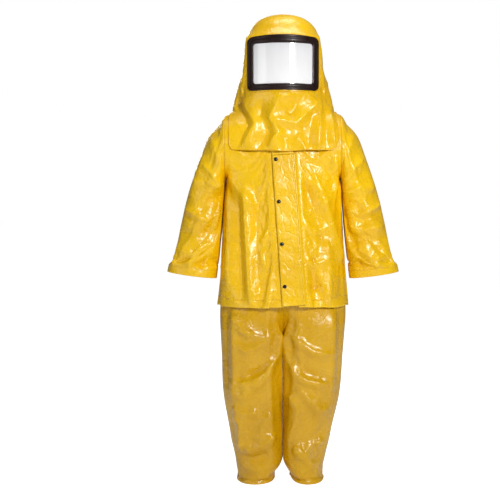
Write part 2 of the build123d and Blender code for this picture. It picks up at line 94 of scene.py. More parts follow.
def ramp(tree, source, stops):
    node = add_node(tree, "ValToRGB")
    tree.links.new(source, node.inputs["Fac"])
    elements = node.color_ramp.elements
    while len(elements) < len(stops):
        elements.new(0.5)
    for element, (place, colour) in zip(elements, stops):
        element.position = place
        element.color = (*colour, 1.0)
    return node.outputs["Color"]


def noise(tree, coords, scale, detail=4.0, distortion=0.0):
    node = add_node(tree, "TexNoise", Scale=scale, Detail=detail, Distortion=distortion, Roughness=0.5)
    tree.links.new(coords, node.inputs["Vector"])
    return node.outputs["Fac"]


def remap(tree, source, low, high, from_low=0.3, from_high=0.7):
    node = add_node(tree, "MapRange")
    tree.links.new(source, node.inputs["Value"])
    node.inputs["From Min"].default_value = from_low
    node.inputs["From Max"].default_value = from_high
    node.inputs["To Min"].default_value = low
    node.inputs["To Max"].default_value = high
    return node.outputs["Result"]


def bump_chain(tree, shader, layers):
    """Stacks bumps, each given as (height output, distance)."""
    normal = None
    for height, distance in layers:
        node = add_node(tree, "Bump", Distance=distance)
        node.inputs["Strength"].default_value = 1.0
        tree.links.new(height, node.inputs["Height"])
        if normal is not None:
            tree.links.new(normal, node.inputs["Normal"])
        normal = node.outputs["Normal"]
    tree.links.new(normal, shader.inputs["Normal"])


def pvc(name, dark, light, gloss=0.30):
    """Glossy coated cloth: uneven colour, micro wrinkles, a faint calender grain, a painted highlight on
    sharp ridges and painted shade in the creases.
    """
    made, tree, shader = new_material(name)
    coords = object_coords(tree)
    broad = noise(tree, coords, 5.0, 3.0)
    fine = noise(tree, coords, 900.0, 2.0)
    soft = noise(tree, coords, 42.0, 5.0, 1.2)
    creases = add_node(tree, "TexVoronoi", Scale=26.0, feature="DISTANCE_TO_EDGE")
    warp = add_node(tree, "VectorMath", operation="ADD")
    warp_noise = add_node(tree, "TexNoise", Scale=18.0, Detail=3.0)
    tree.links.new(coords, warp_noise.inputs["Vector"])
    scaled = add_node(tree, "VectorMath", operation="SCALE")
    scaled.inputs["Scale"].default_value = 0.035
    tree.links.new(warp_noise.outputs["Color"], scaled.inputs[0])
    tree.links.new(coords, warp.inputs[0])
    tree.links.new(scaled.outputs[0], warp.inputs[1])
    tree.links.new(warp.outputs[0], creases.inputs["Vector"])
    crease_height = remap(tree, creases.outputs["Distance"], 0.0, 1.0, 0.0, 0.12)
    base = ramp(tree, broad, [(0.3, dark), (0.7, light)])
    # Painted highlight: sharp ridges are mixed towards a paler, whiter yellow.
    ridge = remap(tree, add_node(tree, "NewGeometry").outputs["Pointiness"], 0.0, 1.0, 0.52, 0.62)
    # Painted shade: hollow creases are mixed towards a darker amber.
    crease_shade_mask = remap(tree, add_node(tree, "NewGeometry").outputs["Pointiness"], 0.85, 0.0, 0.40, 0.485)
    deep = add_node(tree, "Mix", data_type="RGBA", blend_type="MIX")
    tree.links.new(crease_shade_mask, deep.inputs["Factor"])
    tree.links.new(base, deep.inputs["A"])
    deep.inputs["B"].default_value = (dark[0] * 0.78, dark[1] * 0.60, 0.0, 1)
    ridge_highlight = add_node(tree, "Mix", data_type="RGBA", blend_type="MIX")
    tree.links.new(ridge, ridge_highlight.inputs["Factor"])
    tree.links.new(deep.outputs["Result"], ridge_highlight.inputs["A"])
    ridge_highlight.inputs["B"].default_value = (min(1, light[0] * 1.08), light[1] * 1.12, light[2] + 0.015, 1)
    tree.links.new(ridge_highlight.outputs["Result"], shader.inputs["Base Color"])
    tree.links.new(remap(tree, soft, gloss - 0.06, gloss + 0.1), shader.inputs["Roughness"])
    shader.inputs["IOR"].default_value = 1.5
    shader.inputs["Coat Weight"].default_value = 0.2
    shader.inputs["Coat Roughness"].default_value = 0.16
    bump_chain(tree, shader, [(soft, 0.0016), (crease_height, 0.0005), (fine, 0.00004)])
    return made


def plastic(name, colour, roughness=0.35, grain=600.0, grain_depth=0.00005, wear=0.08, shine=0.5):
    made, tree, shader = new_material(name)
    coords = object_coords(tree)
    lighter = tuple(min(1.0, c * 1.5 + wear * 0.05) for c in colour)
    tree.links.new(ramp(tree, noise(tree, coords, 30.0), [(0.35, colour), (0.75, lighter)]),
                   shader.inputs["Base Color"])
    tree.links.new(remap(tree, noise(tree, coords, 60.0, 5.0), roughness - 0.06, roughness + 0.12),
                   shader.inputs["Roughness"])
    shader.inputs["Specular IOR Level"].default_value = shine
    bump_chain(tree, shader, [(noise(tree, coords, grain, 2.0), grain_depth)])
    return made


def woven(name, dark, light, pitch):
    """A plain weave from two crossed sets of threads."""
    made, tree, shader = new_material(name)
    coords = object_coords(tree)
    heights = []
    for direction in ("X", "Z"):
        wave = add_node(tree, "TexWave", Scale=0.5 / pitch, Distortion=0.6, bands_direction=direction)
        tree.links.new(coords, wave.inputs["Vector"])
        heights.append(wave.outputs["Fac"])
    both = add_node(tree, "Math", operation="MULTIPLY")
    tree.links.new(heights[0], both.inputs[0])
    tree.links.new(heights[1], both.inputs[1])
    tree.links.new(ramp(tree, both.outputs[0], [(0.0, dark), (0.8, light)]), shader.inputs["Base Color"])
    shader.inputs["Roughness"].default_value = 0.85
    shader.inputs["Sheen Weight"].default_value = 0.3
    bump_chain(tree, shader, [(both.outputs[0], 0.0004)])
    return made


def visor_film(name):
    """Clear film with a pale haze that lets a little of the inside through."""
    made, tree, shader = new_material(name)
    coords = object_coords(tree)
    split = add_node(tree, "SeparateXYZ")
    tree.links.new(coords, split.inputs[0])
    # Painted shading: the film's colour runs from whiter at the bottom to greyer at the top.
    height = remap(tree, split.outputs["Z"], 0.0, 1.0, 1.50, 1.62)
    tree.links.new(ramp(tree, height, [(0.0, (0.94, 0.94, 0.945)), (1.0, (0.80, 0.80, 0.815))]),
                   shader.inputs["Base Color"])
    tree.links.new(remap(tree, noise(tree, coords, 90.0, 6.0), 0.06, 0.12), shader.inputs["Roughness"])
    shader.inputs["Alpha"].default_value = 0.96
    shader.inputs["Coat Weight"].default_value = 0.6
    shader.inputs["Coat Roughness"].default_value = 0.04
    bump_chain(tree, shader, [(noise(tree, coords, 9.0, 2.0), 0.0008)])
    return made


yellow = pvc("pvc_yellow", (0.80, 0.455, 0.0), (0.93, 0.570, 0.0))
# The trousers use a darker copy of the suit's yellow PVC: painted shade for legs lit less than the jacket.
trouser_yellow_shaded = pvc("pvc_trouser_painted_shade", (0.60, 0.322, 0.0), (0.73, 0.415, 0.0), 0.29)
thread = woven("thread_yellow", (0.5, 0.32, 0.0), (0.75, 0.5, 0.01), 0.0006)
webbing = woven("webbing_yellow", (0.40, 0.27, 0.01), (0.72, 0.50, 0.04), 0.0012)
lining = woven("sweatband_cloth", (0.015, 0.015, 0.017), (0.07, 0.07, 0.075), 0.001)
black_rubber = plastic("visor_rubber", (0.013, 0.0052, 0.004), 0.33, 380.0, 0.00001, 0.02, 0.28)
black_snap = plastic("snap_black", (0.006, 0.006, 0.007), 0.22)
black_plastic = plastic("harness_plastic", (0.018, 0.018, 0.02), 0.42)
shell_plastic = plastic("crown_shell_plastic", (0.55, 0.55, 0.54), 0.4, 300.0, 0.0001)
zip_plastic = plastic("zip_plastic", (0.42, 0.27, 0.005), 0.4)
film = visor_film("visor_film")
steel, steel_tree, steel_shader = new_material("stud_steel")
steel_shader.inputs["Metallic"].default_value = 1.0
steel_shader.inputs["Base Color"].default_value = (0.62, 0.61, 0.58, 1)
steel_tree.links.new(remap(steel_tree, noise(steel_tree, object_coords(steel_tree), 500.0), 0.22, 0.42),
                     steel_shader.inputs["Roughness"])

# ---------------------------------------------------------------- shape tools


def levels(table, at):
    """Smooth values, from a table of (place, value, ...) rows, at each place."""
    rows = np.asarray(table, float)
    at = np.asarray(at, float)
    places, values = rows[:, 0], rows[:, 1:]
    slope = np.gradient(values, places, axis=0)
    spot = np.clip(at, places[0], places[-1])
    k = np.clip(np.searchsorted(places, spot) - 1, 0, len(places) - 2)
    gap = (places[k + 1] - places[k])[..., None]
    t = ((spot - places[k])[..., None]) / gap
    found = (
        (2 * t**3 - 3 * t**2 + 1) * values[k]
        + (t**3 - 2 * t**2 + t) * gap * slope[k]
        + (3 * t**2 - 2 * t**3) * values[k + 1]
        + (t**3 - t**2) * gap * slope[k + 1]
    )
    return np.moveaxis(found, -1, 0)


def ease(start, end, at):
    t = np.clip((np.asarray(at, float) - start) / (end - start), 0, 1)
    return t * t * (3 - 2 * t)


def oval(degrees, a, b, power):
    """Points of a superellipse, by their angle from +X."""
    angle = np.radians(degrees)
    c, s = np.cos(angle), np.sin(angle)
    r = (np.abs(c / a) ** power + np.abs(s / b) ** power) ** (-1 / power)
    return r * c, r * s


def quads(rows, cols, closed):
    """Faces of a grid of points, row by row."""
    i = np.arange(rows - 1)[:, None]
    j = np.arange(cols if closed else cols - 1)[None, :]
    k = (j + 1) % cols
    faces = np.stack([i * cols + j, i * cols + k, (i + 1) * cols + k, (i + 1) * cols + j], -1)
    return faces.reshape(-1, 4)


def weld(points, faces):
    """Joins points that coincide."""
    keys = np.round(points / 2e-5).astype(np.int64)
    _, first, inverse = np.unique(keys, axis=0, return_index=True, return_inverse=True)
    return points[first], inverse.reshape(-1)[faces]


def vertex_normals(points, faces):
    p = points[faces]
    flat = np.cross(p[:, 2] - p[:, 0], p[:, 3] - p[:, 1])
    total = np.zeros_like(points)
    for corner in range(4):
        np.add.at(total, faces[:, corner], flat)
    return total / np.maximum(np.linalg.norm(total, axis=1, keepdims=True), 1e-12)


def relax(points, faces, times, hold):
    """Evens points out towards their neighbours."""
    edges = np.concatenate([faces[:, [0, 1]], faces[:, [1, 2]], faces[:, [2, 3]], faces[:, [3, 0]]])
    for _ in range(times):
        total, count = np.zeros_like(points), np.zeros(len(points))
        for a, b in ((0, 1), (1, 0)):
            np.add.at(total, edges[:, a], points[edges[:, b]])
            np.add.at(count, edges[:, a], 1)
        middle = total / np.maximum(count, 1)[:, None]
        points = points + (middle - points) * ((1 - hold) * 0.5)[:, None]
    return points


def path_distance(flat, path):
    """Distance of each flat point from a path, and how far along the path it is, from 0 to 1."""
    path = np.asarray(path, float)
    lengths = np.linalg.norm(np.diff(path, axis=0), axis=1)
    total, start = lengths.sum(), 0.0
    best, along = np.full(len(flat), 1e9), np.zeros(len(flat))
    for a, b, length in zip(path[:-1], path[1:], lengths):
        t = np.clip(((flat - a) @ (b - a)) / length**2, 0, 1)
        d = np.linalg.norm(flat - (a + t[:, None] * (b - a)), axis=1)
        closer = d < best
        best = np.where(closer, d, best)
        along = np.where(closer, (start + t * length) / total, along)
        start += length
    return best, along


def fold_heights(flat, folds):
    """Named folds as (path, height, half width): sharp along the line and fading at both ends."""
    height = np.zeros(len(flat))
    for path, rise, width in folds:
        distance, along = path_distance(flat, path)
        fade = np.clip(np.minimum(along, 1 - along) * 6 + 0.15, 0, 1)
        ridge, flank = np.exp(-distance / width), np.exp(-((distance / (2.2 * width)) ** 2))
        height += rise * fade * (0.6 * ridge + 0.55 * flank)
    return height


def crumple(flat, seeds, count, length, rise, width, angles, area):
    """Many short random creases over an area of the flat pattern."""
    chance = np.random.default_rng(seeds)
    (x0, z0), (x1, z1) = area
    height = np.zeros(len(flat))
    for _ in range(count):
        centre = np.array([chance.uniform(x0, x1), chance.uniform(z0, z1)])
        angle = math.radians(chance.uniform(*angles))
        span = length * chance.uniform(0.5, 1.5) / 2
        bend = chance.uniform(-0.35, 0.35) * span
        step = np.array([math.cos(angle), math.sin(angle)])
        side = np.array([-step[1], step[0]])
        path = [centre - step * span, centre + side * bend, centre + step * span]
        distance, along = path_distance(flat, path)
        fade = np.sin(np.pi * np.clip(along, 0, 1)) ** 0.7
        size = rise * chance.uniform(0.4, 1.0) * (1 if chance.random() < 0.6 else -1)
        height += size * fade * np.exp(-distance / (width * chance.uniform(0.6, 1.5)))
    return height


# ---------------------------------------------------------------- cloth


def drape(name, points, faces, hold, frames, grow, stiff, bend, gravity, cap):
    """Lets a garment sag and wrinkle. hold is 1 where it is sewn or held and near 0 where it is free.

    No point moves further than about cap.
    """
    scene = bpy.context.scene
    mesh = bpy.data.meshes.new(name)
    mesh.from_pydata(points.tolist(), [], faces.tolist())
    obj = bpy.data.objects.new(name, mesh)
    scene.collection.objects.link(obj)
    group = obj.vertex_groups.new(name="held")
    steps = np.round(np.clip(hold, 0, 1), 2)
    for weight in np.unique(steps):
        if weight > 0:
            group.add(np.nonzero(steps == weight)[0].tolist(), float(weight), "REPLACE")
    cloth = obj.modifiers.new("drape", "CLOTH")
    settings = cloth.settings
    settings.quality = 5
    settings.mass = 0.3
    settings.air_damping = 2.0
    settings.tension_stiffness = stiff
    settings.compression_stiffness = stiff
    settings.shear_stiffness = stiff / 2
    settings.bending_stiffness = bend
    settings.tension_damping = 8
    settings.compression_damping = 8
    settings.shear_damping = 8
    settings.bending_damping = 1.0
    settings.vertex_group_mass = "held"
    settings.pin_stiffness = 1.0
    settings.shrink_min = -grow
    settings.effector_weights.gravity = gravity
    cloth.collision_settings.use_collision = False
    cloth.point_cache.frame_start = 1
    cloth.point_cache.frame_end = frames
    for number in range(1, frames + 1):
        scene.frame_set(number)
    shown = obj.evaluated_get(bpy.context.evaluated_depsgraph_get())
    moved = np.array([v.co for v in shown.data.vertices], float)
    scene.frame_set(1)
    bpy.data.objects.remove(obj)
    bpy.data.meshes.remove(mesh)
    shift = moved - points
    length = np.linalg.norm(shift, axis=1, keepdims=True)
    return points + shift * np.tanh(length / cap) * cap / np.maximum(length, 1e-9)


def refine(points, faces, labels):
    """One smooth subdivision that keeps each face's label."""
    mesh = bpy.data.meshes.new("refine")
    mesh.from_pydata(points.tolist(), [], faces.tolist())
    for _ in range(int(labels.max()) + 1):
        mesh.materials.append(None)
    mesh.polygons.foreach_set("material_index", labels.astype(np.int32))
    obj = bpy.data.objects.new("refine", mesh)
    bpy.context.scene.collection.objects.link(obj)
    obj.modifiers.new("smooth", "SUBSURF").levels = 1
    shown = obj.evaluated_get(bpy.context.evaluated_depsgraph_get()).data
    new_points = np.empty(len(shown.vertices) * 3)
    shown.vertices.foreach_get("co", new_points)
    new_faces = np.empty(len(shown.polygons) * 4, np.int32)
    shown.polygons.foreach_get("vertices", new_faces)
    new_labels = np.empty(len(shown.polygons), np.int32)
    shown.polygons.foreach_get("material_index", new_labels)
    bpy.data.objects.remove(obj)
    bpy.data.meshes.remove(mesh)
    return new_points.reshape(-1, 3), new_faces.reshape(-1, 4), new_labels


def place(name, points, faces, material, body, replaces=(), slot=None):
    mesh = bpy.data.meshes.new(name)
    mesh.from_pydata(np.asarray(points).tolist(), [], [list(map(int, f)) for f in faces])
    mesh.update()
    obj = bpy.data.objects.new(name, mesh)
    bpy.context.scene.collection.objects.link(obj)
    mesh.materials.append(material)
    mesh.polygons.foreach_set("use_smooth", [True] * len(mesh.polygons))
    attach(obj, body)
    if replaces:
        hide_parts(*replaces)
    return obj


def solid_sheet(points, faces, thickness):
    """A closed sheet: the given surface outside, and a copy of it inside."""
    used = np.unique(faces)
    index = np.full(len(points), -1)
    index[used] = np.arange(len(used))
    faces = index[faces]
    outer = points[used]
    inner = outer - vertex_normals(outer, faces) * thickness
    n = len(outer)
    edges = np.concatenate([faces[:, [0, 1]], faces[:, [1, 2]], faces[:, [2, 3]], faces[:, [3, 0]]])
    keys = np.sort(edges, axis=1)
    _, inverse, counts = np.unique(keys, axis=0, return_inverse=True, return_counts=True)
    rim = edges[counts[inverse.reshape(-1)] == 1]
    walls = np.stack([rim[:, 1], rim[:, 0], rim[:, 0] + n, rim[:, 1] + n], -1)
    return np.concatenate([outer, inner]), np.concatenate([faces, faces[:, ::-1] + n, walls])


def panel(name, points, faces, material, body, replaces=(), thickness=0.0009, slot="pvc_yellow"):
    """One cut panel of a garment, made as a closed sheet of the given thickness."""
    shape, skin = solid_sheet(points, faces, thickness)
    obj = place(name, shape, skin, material, body, replaces, slot)
    used = points[np.unique(faces)]
    height = float(np.ptp(used[:, 2])) * 1.05
    height = max(height, float(np.ptp(used[:, 1])), 0.02)
    return obj


def seam_path(faces, labels, a, b):
    """Runs of points between faces labelled a and faces labelled b (or the rim where b is None)."""
    edges = np.concatenate([faces[:, [k, (k + 1) % 4]] for k in range(4)])
    owner = np.tile(labels, 4)
    keys = np.sort(edges, axis=1)
    order = np.lexsort((keys[:, 1], keys[:, 0]))
    keys, owner = keys[order], owner[order]
    same = np.all(keys[1:] == keys[:-1], axis=1)
    if b is None:
        alone = np.ones(len(keys), bool)
        alone[1:] &= ~same
        alone[:-1] &= ~same
        found = keys[alone & np.isin(owner, a)]
    else:
        first, second = owner[:-1][same], owner[1:][same]
        hit = (np.isin(first, a) & np.isin(second, b)) | (np.isin(first, b) & np.isin(second, a))
        found = keys[:-1][same][hit]
    links = {}
    for p, q in found.tolist():
        links.setdefault(p, []).append(q)
        links.setdefault(q, []).append(p)
    runs = []
    unused = {tuple(sorted(edge)) for edge in found.tolist()}
    starts = [p for p, near in sorted(links.items()) if len(near) == 1] + sorted(links)
    for start in starts:
        run = [start]
        while True:
            options = [q for q in links[run[-1]] if tuple(sorted((run[-1], q))) in unused]
            if not options:
                break
            unused.discard(tuple(sorted((run[-1], options[0]))))
            run.append(options[0])
        if len(run) > 2:
            runs.append(run)
    return runs


def smooth_run(points, times=3):
    points = np.array(points, float)
    for _ in range(times):
        points[1:-1] = (points[:-2] + 2 * points[1:-1] + points[2:]) / 4
    return points


def ribbon(points, normals, half_width, height):
    """A low rounded strip along a line on a surface."""
    points = smooth_run(points)
    along = np.gradient(points, axis=0)
    along /= np.maximum(np.linalg.norm(along, axis=1, keepdims=True), 1e-9)
    across = np.cross(along, normals)
    across /= np.maximum(np.linalg.norm(across, axis=1, keepdims=True), 1e-9)
    out = np.cross(across, along)
    out *= np.sign((out * normals).sum(1, keepdims=True) + 1e-12)
    angle = np.linspace(0, 2 * np.pi, 12, endpoint=False)
    ring = [
        points + across * half_width * np.cos(t) + out * (height * np.sin(t) * (1 if np.sin(t) > 0 else 0.6))
        for t in angle
    ]
    shape = np.stack(ring, 1).reshape(-1, 3)
    faces = quads(len(points), len(angle), True).tolist()
    ends = [list(range(len(angle)))[::-1], [(len(points) - 1) * len(angle) + k for k in range(len(angle))]]
    return shape, faces + ends


def stitch_row(points, normals, offset, pitch=0.0032, length=0.0024, radius=0.00028):
    """Separate stitches beside a line: small rounded beads, as (points, faces)."""
    points = smooth_run(points)
    step = np.linalg.norm(np.diff(points, axis=0), axis=1)
    distance = np.concatenate([[0], np.cumsum(step)])
    places = np.arange(pitch, distance[-1] - pitch, pitch)
    if len(places) < 2:
        return np.zeros((0, 3)), []
    centre = np.stack([np.interp(places, distance, points[:, k]) for k in range(3)], 1)
    normal = np.stack([np.interp(places, distance, normals[:, k]) for k in range(3)], 1)
    normal /= np.maximum(np.linalg.norm(normal, axis=1, keepdims=True), 1e-9)
    along = np.gradient(centre, axis=0)
    along /= np.maximum(np.linalg.norm(along, axis=1, keepdims=True), 1e-9)
    across = np.cross(along, normal)
    middle = centre + across * offset + normal * radius * 0.4
    shape, faces = [], []
    profile = [(-0.5, 0.35), (-0.3, 1.0), (0.3, 1.0), (0.5, 0.35)]
    around = [(math.cos(k * math.pi / 2), math.sin(k * math.pi / 2)) for k in range(4)]
    for share, swell in profile:
        for c, s in around:
            shape.append(middle + along * share * length + (across * c + normal * s) * radius * swell)
    count = len(shape)
    stacked = np.stack(shape, 1).reshape(-1, 3)
    for bead in range(len(middle)):
        base = bead * count
        for ring in range(3):
            for k in range(4):
                a, b = base + ring * 4 + k, base + ring * 4 + (k + 1) % 4
                faces.append([a, b, b + 4, a + 4])
        faces.append([base + 3, base + 2, base + 1, base])
        faces.append([base + 12, base + 13, base + 14, base + 15])
    return stacked, faces


def merged(parts):
    shapes, faces, start = [], [], 0
    for shape, skin in parts:
        if len(shape):
            shapes.append(shape)
            faces.extend([[i + start for i in face] for face in skin])
            start += len(shape)
    return np.concatenate(shapes), faces


# ---------------------------------------------------------------- trousers

CROTCH = (0.585, 0.70)
HIPS = [(0.56, 0.252, 0.147), (0.64, 0.255, 0.149), (0.76, 0.241, 0.147), (0.88, 0.213, 0.135),
        (0.98, 0.184, 0.119), (1.022, 0.18, 0.117)]
LEGS = {
    RIGHT: [(0.0, 0.105, 0.073, 0.088), (0.035, 0.100, 0.079, 0.090), (0.09, 0.090, 0.091, 0.097),
            (0.20, 0.098, 0.112, 0.110), (0.32, 0.113, 0.127, 0.124), (0.50, 0.118, 0.132, 0.140),
            (0.62, 0.1215, 0.1335, 0.148)],
    LEFT: [(0.0, 0.095, 0.061, 0.088), (0.035, 0.090, 0.067, 0.090), (0.09, 0.081, 0.080, 0.097),
           (0.20, 0.089, 0.103, 0.110), (0.32, 0.1065, 0.1205, 0.124), (0.50, 0.115, 0.129, 0.140),
           (0.62, 0.1205, 0.1325, 0.148)],
}
TROUSER_ROWS, TROUSER_COLS, TROUSER_HEM, WAIST_SEAM, WAIST_TOP = 128, 101, 0.032, 1.0, 1.022


def trouser_half(side):
    z = np.linspace(0.0, WAIST_TOP, TROUSER_ROWS)
    t = np.linspace(0, 1, TROUSER_COLS)[None, :]
    centre, a, b = [v[:, None] for v in levels(LEGS[side], z)]
    leg_x, leg_y = oval(-180 + 360 * t, a, b, 2.15)
    hip_a, hip_b = [v[:, None] for v in levels(HIPS, z)]
    hip_x, hip_y = oval(-90 + 180 * t, hip_a, hip_b, 2.3)
    share = ease(*CROTCH, z)[:, None]
    x = (leg_x + centre) * (1 - share) + hip_x * share
    y = leg_y * (1 - share) + hip_y * share
    x = np.where((share > 0) & ((t == 0) | (t == 1)), 0.0, x)
    return np.stack([side * x, y, np.broadcast_to(z[:, None], x.shape)], -1)


points_all, faces_all, labels_all = [], [], []
for index, side in enumerate((LEFT, RIGHT)):
    grid = trouser_half(side)
    faces = quads(TROUSER_ROWS, TROUSER_COLS, False)
    if side == RIGHT:
        faces = faces[:, ::-1]
    row_z = np.linspace(0.0, WAIST_TOP, TROUSER_ROWS)
    middle_z = np.repeat((row_z[:-1] + row_z[1:]) / 2, TROUSER_COLS - 1)
    middle_t = np.tile((np.arange(TROUSER_COLS - 1) + 0.5) / (TROUSER_COLS - 1), TROUSER_ROWS - 1)
    label = np.where(middle_t < 0.5, 0, 1)
    label = np.where(middle_z < TROUSER_HEM, 2, label)
    label = np.where(middle_z > WAIST_SEAM, 3, label)
    points_all.append(grid.reshape(-1, 3))
    faces_all.append(faces + index * grid.shape[0] * grid.shape[1])
    labels_all.append(label + (0 if side == LEFT else 4))
trouser_labels = np.concatenate(labels_all)
trouser_points, trouser_faces = weld(np.concatenate(points_all), np.concatenate(faces_all))

# Share of each fold that is laid before the cloth hangs, and after.
EARLY, LATE = 0.5, 0.75
TROUSER_FOLDS = [
    ([(-0.009, 0.60), (-0.022, 0.498), (-0.060, 0.435), (-0.110, 0.400), (-0.188, 0.388)], 0.016, 0.009),
    ([(-0.030, 0.520), (-0.075, 0.450), (-0.130, 0.420), (-0.185, 0.410)], -0.010, 0.010),
    ([(-0.012, 0.61), (-0.070, 0.545), (-0.130, 0.52), (-0.185, 0.53)], 0.009, 0.009),
    ([(0.003, 0.60), (0.020, 0.483), (0.050, 0.426), (0.090, 0.402), (0.174, 0.388)], 0.016, 0.009),
    ([(0.040, 0.500), (0.070, 0.440), (0.120, 0.420), (0.170, 0.412)], -0.009, 0.010),
    ([(0.010, 0.61), (0.050, 0.555), (0.110, 0.515), (0.188, 0.497)], 0.013, 0.008),
    ([(-0.175, 0.600), (-0.120, 0.575), (-0.060, 0.565)], 0.008, 0.007),
    ([(-0.190, 0.645), (-0.150, 0.600), (-0.110, 0.580)], 0.008, 0.008),
    ([(-0.185, 0.335), (-0.120, 0.365), (-0.060, 0.410)], 0.010, 0.009),
    ([(0.045, 0.385), (0.100, 0.330), (0.140, 0.290), (0.180, 0.300)], 0.012, 0.010),
    ([(-0.190, 0.300), (-0.150, 0.278), (-0.090, 0.285)], 0.012, 0.009),
    ([(-0.185, 0.280), (-0.160, 0.235), (-0.160, 0.13)], 0.012, 0.010),
    ([(0.020, 0.350), (0.050, 0.305), (0.060, 0.270)], 0.011, 0.009),
    ([(0.055, 0.280), (0.035, 0.215), (0.020, 0.150)], 0.011, 0.010),
    ([(-0.040, 0.290), (-0.080, 0.22), (-0.085, 0.16)], 0.009, 0.011),
    ([(-0.150, 0.135), (-0.110, 0.142), (-0.060, 0.165), (-0.030, 0.200)], 0.013, 0.009),
    ([(-0.170, 0.105), (-0.110, 0.100), (-0.050, 0.125)], -0.011, 0.009),
    ([(0.030, 0.135), (0.080, 0.128), (0.105, 0.155), (0.160, 0.175)], 0.013, 0.009),
    ([(0.040, 0.165), (0.090, 0.105), (0.120, 0.060)], 0.012, 0.009),
    ([(0.140, 0.230), (0.120, 0.150), (0.145, 0.080)], -0.010, 0.010),
    ([(-0.188, 0.68), (-0.187, 0.50), (-0.190, 0.36), (-0.183, 0.30)], 0.010, 0.008),
    ([(-0.212, 0.68), (-0.212, 0.50), (-0.208, 0.36)], -0.011, 0.010),
    ([(0.190, 0.68), (0.192, 0.50), (0.185, 0.33)], 0.009, 0.008),
    ([(0.215, 0.68), (0.215, 0.50), (0.205, 0.34)], -0.010, 0.010),
    ([(0.056, 0.66), (0.060, 0.50), (0.068, 0.40)], 0.006, 0.008),
    ([(-0.056, 0.68), (-0.060, 0.55)], 0.005, 0.008)
]


def front_flat(points):
    return points[:, [0, 2]]


def facing(points, faces, front):
    """How far each point faces the front or the back, from 0 to 1."""
    normal = vertex_normals(points, faces)
    return ease(0.05, 0.6, -normal[:, 1] if front else normal[:, 1])


def crease(points, faces, heights):
    return points + vertex_normals(points, faces) * heights[:, None]


def back_folds(folds):
    """The same kind of folds for the unseen back, moved about so that they are not a copy."""
    moved = []
    for number, (path, rise, width) in enumerate(folds):
        slide = 0.02 * math.sin(2.3 * number + 1)
        moved.append(([(-x * 0.95, z + slide) for x, z in path], rise, width))
    return moved


def folded(points, faces, folds):
    """Heights of a garment's folds in front, and of their moved copies behind."""
    flat = front_flat(points)
    made = fold_heights(flat, folds) * facing(points, faces, True)
    return made + fold_heights(flat, back_folds(folds)) * facing(points, faces, False)


heights = folded(trouser_points, trouser_faces, TROUSER_FOLDS)
trouser_points = crease(trouser_points, trouser_faces, heights * EARLY)
hold = np.maximum(ease(0.97, 0.99, trouser_points[:, 2]), 1 - ease(0.004, 0.012, trouser_points[:, 2]))
hold = np.maximum(hold, 0.03)
trouser_points = drape(
    "trouser_drape", trouser_points, trouser_faces, hold, 18, 0.035, 16, 0.9, 1.0, 0.017)
leg_side = np.zeros(len(trouser_points))
leg_side[np.unique(trouser_faces[trouser_labels < 4])] += 1
leg_side[np.unique(trouser_faces[trouser_labels >= 4])] -= 1
below_crotch = trouser_points[:, 2] < CROTCH[0] + 0.01
meet = np.maximum(trouser_points[:, 0] * leg_side, 0.0008) * leg_side
trouser_points[:, 0] = np.where(below_crotch & (leg_side != 0), meet, trouser_points[:, 0])
trouser_points, trouser_faces, trouser_labels = refine(trouser_points, trouser_faces, trouser_labels)


def both_faces(points, faces, seed, count, length, rise, width, angles, area):
    """Random creases in front and, with another seed, behind."""
    flat = front_flat(points)
    made = crumple(flat, seed, count, length, rise, width, angles, area) * facing(points, faces, True)
    behind = crumple(flat, seed + 50, count, length, rise, width, angles, area)
    return made + behind * facing(points, faces, False)


late = folded(trouser_points, trouser_faces, TROUSER_FOLDS)
trouser_points = crease(trouser_points, trouser_faces, late * LATE)
heights = both_faces(trouser_points, trouser_faces, 3, 60, 0.10, 0.0021, 0.005, (-35, 35),
                     ((-0.24, 0.03), (0.24, 0.7)))
heights += both_faces(trouser_points, trouser_faces, 5, 46, 0.07, 0.0016, 0.0035, (-90, 90),
                      ((-0.24, 0.05), (0.24, 0.7)))
heights += both_faces(trouser_points, trouser_faces, 7, 26, 0.09, 0.003, 0.006, (-25, 25),
                      ((-0.2, 0.04), (0.2, 0.2)))
heights *= ease(0.0, 0.03, trouser_points[:, 2]) * (1 - ease(0.95, 1.0, trouser_points[:, 2]))
trouser_points = crease(trouser_points, trouser_faces, heights)
trouser_points[:, 2] = np.maximum(trouser_points[:, 2], 0.0)
trouser_normals = vertex_normals(trouser_points, trouser_faces)
for side, start in ((LEFT, 0), (RIGHT, 4)):
    name = SIDE_NAME[side]
    for label, part in enumerate(("trouser_front", "trouser_back", "trouser_hem")):
        node = f"{part}_{name}"
        panel(f"{node}_cloth", trouser_points, trouser_faces[trouser_labels == start + label], trouser_yellow_shaded,
              "trousers", [node])
panel("waistband_cloth", trouser_points, trouser_faces[np.isin(trouser_labels, (3, 7))],
      trouser_yellow_shaded, "trousers",
      ["waistband"])


def seam_parts(points, normals, faces, labels, pairs, welt, rise, offset):
    """Welts and rows of stitches along the lines between panels."""
    welts, stitches = [], []
    for a, b in pairs:
        for run in seam_path(faces, labels, a, b):
            line, normal = points[run], normals[run]
            welts.append(ribbon(line, normal, welt, rise))
            stitches.append(stitch_row(line, normal, offset))
    return welts, stitches


def seams(name, points, normals, faces, labels, pairs, material, body, offset, welt=0.0014):
    welts, stitches = seam_parts(points, normals, faces, labels, pairs, welt, 0.0006, offset)
    place(f"{name}_welts", *merged(welts), material, body, slot="pvc_yellow")
    place(f"{name}_stitching", *merged(stitches), thread, body, slot="woven")


